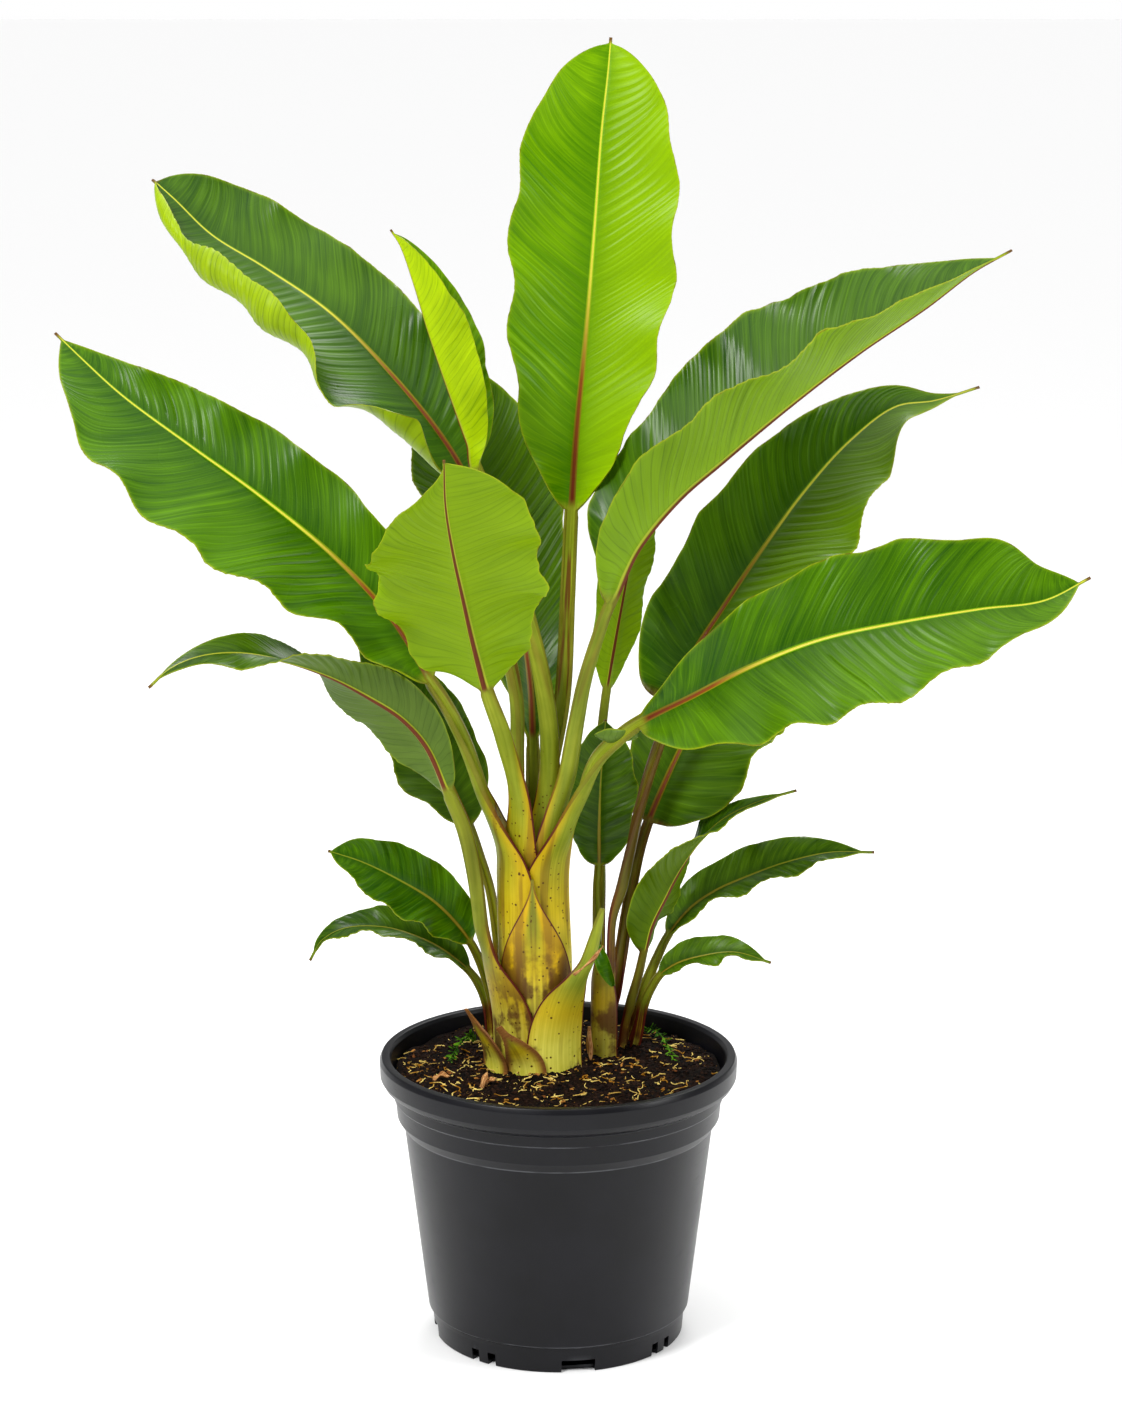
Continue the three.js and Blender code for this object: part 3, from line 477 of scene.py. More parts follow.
def stalk_color(tree, facts):
    """Stalk and sheath, with a soft shadow and a thin red line along each margin."""
    grain = use(tree, STREAKS, Along=facts["across"], Across=facts["vein"], Fineness=620.0, Stretch=9.0)
    in_sheath = fade(tree, facts["place"], -0.95, -1.2)
    color = stalk_ground(tree, facts, grain)
    color = blend(tree, golden_share(tree, facts, grain, in_sheath), color, YELLOW)
    color = blend(tree, worn_share(tree, facts, grain, in_sheath), color, BARK)
    color = blend(tree, stain_share(tree, facts, grain), color, srgb(72, 28, 20))
    color = blend(tree, speck_share(tree, grain, in_sheath), color, srgb(84, 56, 8))
    shadow = fade(tree, facts["edge"], 0.0032, 0.0) * (in_sheath * 0.3)
    color = blend(tree, shadow, color, srgb(140, 66, 14))
    line = fade(tree, facts["edge"], 0.0014, 0.001)
    line = line * (in_sheath * 0.65 + 0.35)
    return blend(tree, line, color, RED_LINE)


def leaf_material(kind):
    look = LEAF_LOOKS[kind]
    material, tree, shader = new_material("leaf " + kind)
    facts = {name: attribute(tree, name) for name in FACTS}
    inputs = {0: facts["place"], 1: 0.0, 2: 1.0, 3: RIB_AT_STALK, 4: RIB_AT_TIP}
    width = field(tree, "ShaderNodeMapRange", inputs)
    facts["from_rib"] = facts["across"] / (width * facts["size"])
    facts["margin"] = facts["edge"] / facts["size"]
    streaks = use(tree, STREAKS, Along=facts["vein"], Across=facts["share"], Fineness=620.0, Stretch=0.8)
    facts["line"] = effect(tree, VEINS, Along=facts["vein"], Across=facts["share"])
    clouds = effect(tree, MOTTLE, Vector=object_place(tree), Scale=8.0)

    blade = blade_color(tree, look, facts, streaks, clouds)
    blade = blend(tree, fade(tree, facts["from_rib"], 1.15, 0.95), blade, rib_color(tree, look, facts))
    touches = fade(tree, noise(tree, vector_of(tree, facts["vein"], facts["under"]), 60.0), 0.52, 0.6)
    margin = blend(tree, touches, srgb(156, 164, 22), srgb(110, 66, 16))
    blade = blend(tree, fade(tree, facts["margin"], 0.0010, 0.0004) * 0.5, blade, margin)
    blade = blend(tree, fade(tree, facts["place"], 0.982, 0.996), blade, srgb(96, 66, 24))
    color = blend(tree, fade(tree, facts["place"], 0.005, 0.03), stalk_color(tree, facts), blade)
    if kind == "dried":
        husk = blend(tree, streaks.outputs["Fine"], look["deep"], look["light"])
        dry_edge = fade(tree, facts["edge"], 0.008, 0.001)
        withered = dry_edge + fade(tree, facts["place"], -1.25, -0.95)
        color = blend(tree, withered, color, husk)
    put(tree, shader.inputs["Base Color"], color)

    dull = field(tree, "ShaderNodeMapRange", {0: facts["under"], 3: 0.25, 4: 0.38})
    rough = dull + clouds * 0.12
    put(tree, shader.inputs["Roughness"], rough)
    shader.inputs["Specular IOR Level"].default_value = look["shine"]
    relief = Value(streaks.outputs["Fine"]) * 0.5 + facts["line"] * 0.5
    add_bump(tree, shader, relief, 0.2, 0.0003)
    return material


leaf_finishes = {kind: leaf_material(kind) for kind in LEAF_LOOKS}
print("leaf finishes:", ", ".join(leaf_finishes))

# %% [markdown]
# ## One rule for every leaf
#
# A banana leaf grows as one piece: a sheath that wraps the stem, a channelled stalk, and a blade that
# is folded along its midrib. All of that follows one rule, so a leaf could be modelled once and bent
# into place, or worked out from a few numbers. The numbers are better here, because each leaf in the
# photo has its own bend, width and fold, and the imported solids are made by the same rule.
#
# First comes the spine, a smooth curve through a few points, and the lengths along it at which the
# sheath ends and the blade starts.

# %% Spine
RUN_STEPS = 40


def smooth(value):
    value = np.clip(value, 0, 1)
    return value ** 2 * (3 - 2 * value)


def mix(first, second, share):
    return first + (second - first) * share


def spine_path(points):
    """Places along a centripetal curve through the points, in millimetres."""
    points = np.array(points, float)
    held = np.vstack([2 * points[0] - points[1], points, 2 * points[-1] - points[-2]])
    share = np.linspace(0, 1, RUN_STEPS, endpoint=False)[:, None]
    runs = []
    for before, start, end, after in zip(held, held[1:], held[2:], held[3:]):
        legs = ((before, start), (start, end), (end, after))
        first, middle, last = (np.linalg.norm(far - near) ** 0.5 for near, far in legs)
        pace = (end - start) / middle
        leave = ((start - before) / first - (end - before) / (first + middle) + pace) * middle
        arrive = (pace - (after - start) / (middle + last) + (after - end) / last) * middle
        cubic = 2 * start - 2 * end + leave + arrive
        square = -3 * start + 3 * end - 2 * leave - arrive
        runs.append(start + leave * share + square * share ** 2 + cubic * share ** 3)
    return np.vstack([*runs, points[-1:]])


class Spine:
    """The curve of one leaf, read by length."""

    def __init__(self, leaf):
        sheath = sheath_points(leaf)
        stalk = leaf.get("stalk", [])
        blade = leaf.get("blade", [])
        self.path = spine_path([*sheath, *stalk, *blade])
        steps = np.linalg.norm(np.diff(self.path, axis=0), axis=1)
        self.lengths = np.concatenate([[0], np.cumsum(steps)])
        self.tangents = np.gradient(self.path, self.lengths, axis=0)
        self.tangents[0] = (0, 0, 1)
        self.total = self.lengths[-1]
        self.sheath_end = self.length_at(len(sheath) - 1 + leaf.get("sheath_runs", 0))
        self.blade_start = self.length_at(len(sheath) + len(stalk)) if blade else self.total

    def length_at(self, point):
        return self.lengths[min(len(self.lengths) - 1, RUN_STEPS * point)]

    def read(self, table, length):
        return np.stack([np.interp(length, self.lengths, table[:, axis]) for axis in range(3)], axis=-1)


# %% Where a sheath stands
SOIL_LEVEL = 212
FOOT = 200.3
STEM_BASE = (-15, 25)
STEM_LEAN = (-0.019, 0)
LAYER_PITCH = 3
OUTER_LAYER_RADIUS = 43.5
SUCKER_BASE = (37, 39)
THIN_STEMS_BASE = (56, 58)
BACK_SHOOT_BASE = (33, 66)
LEFT_SHOOTS_BASE = (-49, 65)
STRAIGHT = (0, 0)


def ring_radius(leaf):
    return leaf.get("ring", OUTER_LAYER_RADIUS - LAYER_PITCH * leaf.get("layer", 0))


def sheath_points(leaf):
    """Points up the stem, on the ring that this leaf's sheath lies in."""
    foot = leaf.get("foot", STEM_BASE)
    lean = leaf.get("lean", STEM_LEAN)
    angle = math.radians(leaf["azimuth"])
    points = []
    for height in leaf["sheath_heights"]:
        rise = height - SOIL_LEVEL
        x = foot[0] + lean[0] * rise + ring_radius(leaf) * math.cos(angle)
        y = foot[1] + lean[1] * rise + ring_radius(leaf) * math.sin(angle)
        points.append((x, y, height))
    return points


# %% [markdown]
# Then comes the section. From the middle to each margin it is a curve that bends by a fold, a cup and
# sometimes a curl, with a thickness that is greatest at the midrib. The margins also swing up and down
# in waves, as the photo shows on every leaf.
#
# The rows of points aren't square to the midrib. They sweep towards the tip as the real veins do, so
# each vein is one row, and the soft pleats between the veins are real relief and not only colour.

# %% Section of a leaf
BLADE_THICKNESS = 0.8
RIB_DEPTH = 4.6
RIB_HALF_WIDTH = 4
STALK_HALF_WIDTH = 5.5
STALK_DEPTH = 7.5
STALK_EDGE = 2.4
STALK_CUP = 62
TIP_HALF_WIDTH = 1
TIP_THICKNESS = 1.3
STALK_NARROWING = 0.85
STALK_THINNING = 0.8
EDGE_THINNING = 0.7
SHEATH_THICKNESS = 2
SHEATH_MARGIN = 0.8
RIB_TIP_HALF_WIDTH = 1.2
USUAL_CUP = ((8, 8), (8, 8))
NO_CURL = ((0, 0), (0, 0))
USUAL_TAIL = 0.015
SCALLOP = 0.035
SCALLOP_SHIFTS = (2.1, 4.4)
STALK_FORMS = 0.72
BLADE_OPEN = 0.12
CURL_POWER = 5
WAVE_POWER = 2.2
VEIN_SWEEP = 0.85


def blade_outline(t, widest=0.45, base=2.2, base_round=0.62, tip=2.3, tip_round=0.95):
    """Half-width of a blade, as a share of its widest, at a share t of its length."""
    lower = np.clip(1 - np.clip((widest - t) / widest, 0, 1) ** base, 0, 1) ** base_round
    upper = np.clip(1 - np.clip((t - widest) / (1 - widest), 0, 1) ** tip, 0, 1) ** tip_round
    return np.where(t < widest, lower, upper)


print("half-width near each end, as a share:", [round(float(blade_outline(t)), 2) for t in (0.1, 0.9)])


def along(values, t):
    """The value at share t of a short list that is spread evenly along a leaf."""
    return np.interp(t, np.linspace(0, 1, len(values)), values)


def section_of(leaf, spine, length, side):
    """Half-width, bends and thickness of one half of the leaf, at each length."""
    radius = ring_radius(leaf)
    stalk = leaf.get("stalk_half_width", STALK_HALF_WIDTH)
    depth = leaf.get("stalk_depth", STALK_DEPTH)
    has_stalk = "stalk" in leaf
    has_blade = "blade" in leaf

    # Sheath
    share = np.clip(length / spine.sheath_end, 0, 1)
    closed = smooth(share) ** leaf.get("opening", 3)
    sheath_half = mix(radius * math.radians(leaf["wrap"][side]), stalk, closed)
    thick = smooth((share - STALK_FORMS) / (1 - STALK_FORMS)) if has_stalk else 0 * share
    bend = math.radians(STALK_CUP if has_stalk else 0)
    sheath_cup = mix(sheath_half / radius, np.maximum(bend, sheath_half / radius), thick)
    sheath_middle = mix(SHEATH_THICKNESS, depth, thick)
    sheath_edge = mix(SHEATH_THICKNESS * SHEATH_MARGIN, STALK_EDGE, thick)

    # Stalk
    run = max(spine.blade_start - spine.sheath_end, 1)
    share = np.clip((length - spine.sheath_end) / run, 0, 1)
    end = stalk * (STALK_NARROWING if has_blade else TIP_HALF_WIDTH / stalk)
    stalk_half = mix(stalk, end, share if has_blade else share ** 2)
    stalk_middle = mix(depth, depth * STALK_THINNING if has_blade else TIP_THICKNESS * 1.5, share)
    stalk_edge = mix(STALK_EDGE, STALK_EDGE * EDGE_THINNING, share)

    on_stalk = length > spine.sheath_end
    half = np.where(on_stalk, stalk_half, sheath_half)
    cup = np.where(on_stalk, math.radians(STALK_CUP), sheath_cup)
    middle = np.where(on_stalk, stalk_middle, sheath_middle)
    edge = np.where(on_stalk, stalk_edge, sheath_edge)
    below = dict(half=half, fold=0 * half, cup=cup, curl=0 * half, middle=middle, edge=edge,
                 rib=0 * half + 1, wave=0 * half)
    if not has_blade:
        return below

    # Blade
    t = np.clip((length - spine.blade_start) / (spine.total - spine.blade_start), 0, 1)
    start = smooth(t / BLADE_OPEN)
    outlines = [leaf["outline"], leaf.get("outline_right", leaf["outline"])]
    full = np.clip(t / (1 - leaf.get("tail", USUAL_TAIL)), 0, 1)
    shares = [blade_outline(full, **outline) for outline in outlines]
    count, _, phase = leaf["waves"]
    scallop = 1 + SCALLOP * np.sin(2 * np.pi * count * t + phase + SCALLOP_SHIFTS[side])
    narrowest = mix(stalk * STALK_NARROWING, TIP_HALF_WIDTH, smooth(t / 0.5))
    blade_half = np.maximum(leaf["half"][side] * shares[side] * scallop, narrowest)
    widest = np.maximum(leaf["half"][0] * shares[0], leaf["half"][1] * shares[1])
    blade_rib = np.minimum(1, mix(RIB_HALF_WIDTH, RIB_TIP_HALF_WIDTH, t) / np.maximum(widest, narrowest))
    cups = leaf.get("cup", USUAL_CUP)[side]
    curls = leaf.get("curl", NO_CURL)[side]
    blade = dict(
        half=blade_half,
        fold=np.radians(along(leaf["fold"], t)) * start,
        cup=mix(math.radians(STALK_CUP), np.radians(along(cups, t)), start),
        curl=np.radians(along(curls, t)) * start,
        middle=mix(mix(depth * STALK_THINNING, RIB_DEPTH, start), TIP_THICKNESS, t),
        edge=mix(STALK_EDGE * EDGE_THINNING, BLADE_THICKNESS, start),
        rib=blade_rib,
        wave=start * np.minimum(1, 1.3 * np.minimum(*shares)),
    )
    on_blade = length >= spine.blade_start
    return {name: np.where(on_blade, blade[name], below[name]) for name in below}


# %% Facing


def unit(vectors):
    return vectors / np.linalg.norm(vectors, axis=-1, keepdims=True)


def facing_of(leaf, spine, length, tangent):
    """Which way the upper side looks: to the stem's middle at first, then as the leaf's list says."""
    angle = math.radians(leaf["azimuth"])
    facing = np.zeros(length.shape + (3,)) + (-math.cos(angle), -math.sin(angle), 0)
    if "face" in leaf:
        turn_start = spine.sheath_end * 0.75
        turn = smooth((length - turn_start) / max(1, spine.blade_start - turn_start))[..., None]
        t = np.clip((length - spine.blade_start) / max(1, spine.total - spine.blade_start), 0, 1)
        wanted = np.stack([along(axis, t) for axis in zip(*leaf["face"])], axis=-1)
        facing = mix(facing, unit(wanted), turn)
    facing -= tangent * np.sum(facing * tangent, axis=-1, keepdims=True)
    return unit(facing)


# %% Pleats
PLEAT_PITCH = 8.6
PLEAT_DEPTH = 1.15
RIPPLE_PITCH = 4.2
RIPPLE_DEPTH = 0.24


def pleats(length, across, rib_width, phase):
    """Soft ridges between the veins, in millimetres, with narrow valleys."""
    drift = 0.6 * np.sin(length / 31 + phase) + 0.35 * np.sin(length / 13 + 2 * phase)
    ridge = np.abs(np.sin(np.pi * length / PLEAT_PITCH + drift)) ** 0.7 - 0.7
    strength = 0.55 + 0.45 * np.sin(length / 47 + 3 * phase)
    ripple = np.sin(2 * np.pi * length / RIPPLE_PITCH + 1.7 * drift + phase)
    relief = PLEAT_DEPTH * strength * ridge + RIPPLE_DEPTH * ripple
    return relief * smooth((across - rib_width) / 9)


sample = pleats(np.arange(0.0, 200.0), 20.0, RIB_HALF_WIDTH, 0)
print("pleats, mm deep:", round(float(np.ptp(sample)), 2))

# %% Uneven margins


def uneven(leaf, salt, knots):
    """A smooth random curve along the leaf, from -1 to 1, that is always the same for this leaf."""
    seed = sum(ord(letter) * (place + 1) for place, letter in enumerate(leaf["name"])) + 1000 * salt
    heights = np.random.default_rng(seed).uniform(-1, 1, knots + 2)

    def read(t):
        place = t * knots
        first = np.minimum(place.astype(int), knots)
        return mix(heights[first], heights[first + 1], smooth(place - first))
    return read


# %% Leaf mesh
SECTION_STEPS = 24
ROW_PITCH = 1.5
STALK_ROW_PITCH = 3.5
LONGEST_SWEEP = 0.13
LOBES = 0.03
NICKS = 0.01
BUCKLE = 2.4
CRIMP = 0.9
CHANNEL_DEPTH = 0.9
SHARP_ANGLE = 60
BROAD_LEAF = 60


def across_shares(cells):
    """Places from the middle of a leaf to its margin, closer together at the midrib and the margin."""
    inner = np.array([0, 0.012, 0.028, 0.05, 0.08])
    outer = np.linspace(0.08, 1, cells - 3) ** 0.95
    return np.concatenate([inner[:-1], outer])


def row_lengths(spine, leaf):
    count = int(spine.blade_start / STALK_ROW_PITCH)
    low = np.linspace(0, spine.blade_start, count, endpoint="blade" not in leaf)
    if "blade" not in leaf:
        return low
    rows = int((spine.total - spine.blade_start) / ROW_PITCH)
    return np.concatenate([low, np.linspace(spine.blade_start, spine.total, rows)])


def swept_lengths(leaf, spine, rows, shares, side):
    """How far along the spine each point is. A row leans towards the tip, as a vein does."""
    length = rows[:, None] + 0 * shares[None, :]
    if "blade" not in leaf:
        return length
    run = spine.total - spine.blade_start
    t = np.clip((rows - spine.blade_start) / run, 0, 1)
    reach = min(VEIN_SWEEP * leaf["half"][side], LONGEST_SWEEP * run)
    sweep = reach * smooth(t / 0.25) * smooth((1 - t) / 0.3)
    return np.minimum(length + sweep[:, None] * shares ** 1.2, spine.total)


def lobed_half(leaf, t, shares, side, section):
    """The half-width with its lobes and nicks, which are random but the same each time."""
    lobes = LOBES * uneven(leaf, side + 4, 13)(t) + NICKS * uneven(leaf, side + 6, 40)(t)
    lobes = lobes * leaf.get("rumple", 1) * section["wave"]
    return section["half"] * (1 + lobes * shares ** 4)


def lift_of(leaf, t, shares, side, section, vein, across, rib_width):
    """How far each point stands off the smooth section: waves, buckles, crimps and pleats."""
    sign = -1 if side == 0 else 1
    count, height, phase = leaf.get("waves", (0, 0, 0))
    on_blade = section["wave"]
    swing = height * on_blade * np.sin(2 * np.pi * count * t + phase + sign * 1.1)
    lift = swing * shares ** WAVE_POWER
    rumple = leaf.get("rumple", 1) * on_blade
    lift = lift + BUCKLE * rumple * uneven(leaf, side, 11)(t) * shares ** 3
    lift = lift + CRIMP * rumple * uneven(leaf, side + 2, 34)(t) * shares ** 6
    return lift + pleats(vein, across, rib_width, phase + side) * on_blade


def half_of_leaf(leaf, spine, rows, shares, side):
    """Upper and lower points of one half, as rows by columns, with what the finish needs."""
    sign = -1 if side == 0 else 1
    run = max(spine.total - spine.blade_start, 1)
    length = swept_lengths(leaf, spine, rows, shares, side)
    t = np.clip((length - spine.blade_start) / run, 0, 1)
    section = section_of(leaf, spine, length, side)
    if "blade" in leaf:
        section["half"] = lobed_half(leaf, t, shares, side, section)

    # Walk out from the midrib
    steps = (np.arange(SECTION_STEPS) + 0.5) / SECTION_STEPS
    q = shares[None, :, None] * steps[None, None, :]
    power = leaf.get("curl_power", CURL_POWER)
    fold, cup, curl = (section[name][..., None] for name in ("fold", "cup", "curl"))
    slope = fold + cup * q + curl * q ** power
    stride = section["half"] * shares[None, :]
    out = np.cos(slope).mean(axis=-1) * stride
    up = np.sin(slope).mean(axis=-1) * stride
    end_slope = section["fold"] + section["cup"] * shares + section["curl"] * shares ** power

    centre = spine.read(spine.path, length)
    tangent = unit(spine.read(spine.tangents, length))
    facing = facing_of(leaf, spine, length, tangent)
    sideways = np.cross(tangent, facing)
    normal = facing * np.cos(end_slope)[..., None] - sign * sideways * np.sin(end_slope)[..., None]
    points = centre + sideways * (sign * out)[..., None] + facing * up[..., None]

    vein = rows[:, None] + 0 * length
    across = shares[None, :] * section["half"]
    rib_width = mix(RIB_HALF_WIDTH, RIB_TIP_HALF_WIDTH, t)
    lift = lift_of(leaf, t, shares, side, section, vein, across, rib_width)
    points = points + normal * lift[..., None]

    from_rib = across / rib_width
    channel = CHANNEL_DEPTH * (1 - 0.7 * t) * np.clip(1 - from_rib ** 2, 0, 1) * smooth(section["wave"])
    along_stalk = section["rib"] >= 0.999
    grow = np.where(along_stalk, shares ** 1.5, smooth(shares / section["rib"]))
    thickness = mix(section["middle"], section["edge"], grow)
    upper = points - normal * channel[..., None]
    lower = points - normal * thickness[..., None]

    place_sheath = np.clip(rows / spine.sheath_end, 0, 1) - 2
    stalk_run = max(spine.blade_start - spine.sheath_end, 1)
    place_stalk = np.clip((rows - spine.sheath_end) / stalk_run, 0, 1) - 1
    place = np.where(rows <= spine.sheath_end, place_sheath, place_stalk)
    place = np.where((rows > spine.blade_start)[:, None], np.maximum(t, 0.001), place[:, None])
    facts = dict(
        share=shares[None, :] + 0 * length,
        across=across * MM,
        edge=(section["half"] - across) * MM,
        vein=vein * MM,
        place=place,
        # Painted light: how much paler this half is painted, most at its margin.
        painted_light=leaf.get("painted_light", (0, 0))[side] * shares[None, :] ** 0.3 + 0 * length,
    )
    return upper, lower, facts


def write_fact(mesh, name, values):
    """One number for each point, which the finish reads by its name."""
    numbers = values.astype(np.float32).ravel()
    mesh.attributes.new(name, "FLOAT", "POINT").data.foreach_set("value", numbers)


def leaf_mesh(leaf):
    """The whole leaf as one closed mesh, with its facts as attributes. Size is 1 on a broad leaf."""
    spine = Spine(leaf)
    rows = row_lengths(spine, leaf)
    shares = across_shares(leaf.get("fine_cells", 14))
    halves = [half_of_leaf(leaf, spine, rows, shares, side) for side in (0, 1)]

    def joined(left, right):
        return np.concatenate([left[:, :0:-1], right], axis=1)

    upper = joined(halves[0][0], halves[1][0])
    lower = joined(halves[0][1], halves[1][1])
    count, width = upper.shape[:2]
    points = np.stack([upper, lower], axis=1).reshape(-1, 3) * MM
    ring = 2 * width
    here = np.arange(count - 1)[:, None] * ring
    column = np.arange(width - 1)[None, :]

    def quads(a, b, c, d):
        return np.stack([a, b, c, d], axis=-1).reshape(-1, 4)

    top = quads(here + column, here + column + 1, here + ring + column + 1, here + ring + column)
    low = here + width
    bottom = quads(low + column, low + ring + column, low + ring + column + 1, low + column + 1)
    start = np.arange(count - 1) * ring
    last = width - 1
    left = quads(start, start + ring, start + ring + width, start + width)
    right = quads(start + last, start + width + last, start + ring + width + last, start + ring + last)
    cell = np.arange(width - 1)
    end = (count - 1) * ring
    foot = quads(cell, width + cell, width + cell + 1, cell + 1)
    tip = quads(end + cell, end + cell + 1, end + width + cell + 1, end + width + cell)
    faces = np.concatenate([top, bottom, left, right, foot, tip])

    mesh = bpy.data.meshes.new(leaf["name"])
    mesh.from_pydata(points.tolist(), [], faces.tolist())
    for name in halves[0][2]:
        values = joined(halves[0][2][name], halves[1][2][name])
        write_fact(mesh, name, np.stack([values, values], axis=1))
    sides = np.zeros((count, 2, width))
    sides[:, 1] = 1
    write_fact(mesh, "under", sides)
    broad = min(max(leaf.get("half", (BROAD_LEAF,))) / BROAD_LEAF, 1)
    for name, usual in (("rust", 0.4), ("gold", 0.7), ("size", broad)):
        write_fact(mesh, name, np.full(sides.shape, leaf.get(name, usual)))
    mesh.shade_smooth()
    mesh.set_sharp_from_angle(angle=math.radians(SHARP_ANGLE))
    return mesh


# %% [markdown]
# ## The leaves themselves
#
# Each entry is one leaf: where its sheath stands, the points that its spine goes through, which way it
# faces, how wide and how folded it is, and its waves. The places are those of its solid. A few outlines
# and waves are fuller here than on the solid, as the photo shows them. The first of each pair of values
# is for the left half, seen on the upper side with the tip up.
#
# Some entries are for the looks alone. Finish names the colours, rust and gold say how stained and how
# golden the sheath is, tail is the share of the blade that its thin tip takes, rumple makes the margins
# more or less uneven than usual, and one more value is painted light: how much paler each half is
# painted towards its margin, as if that half were lit.

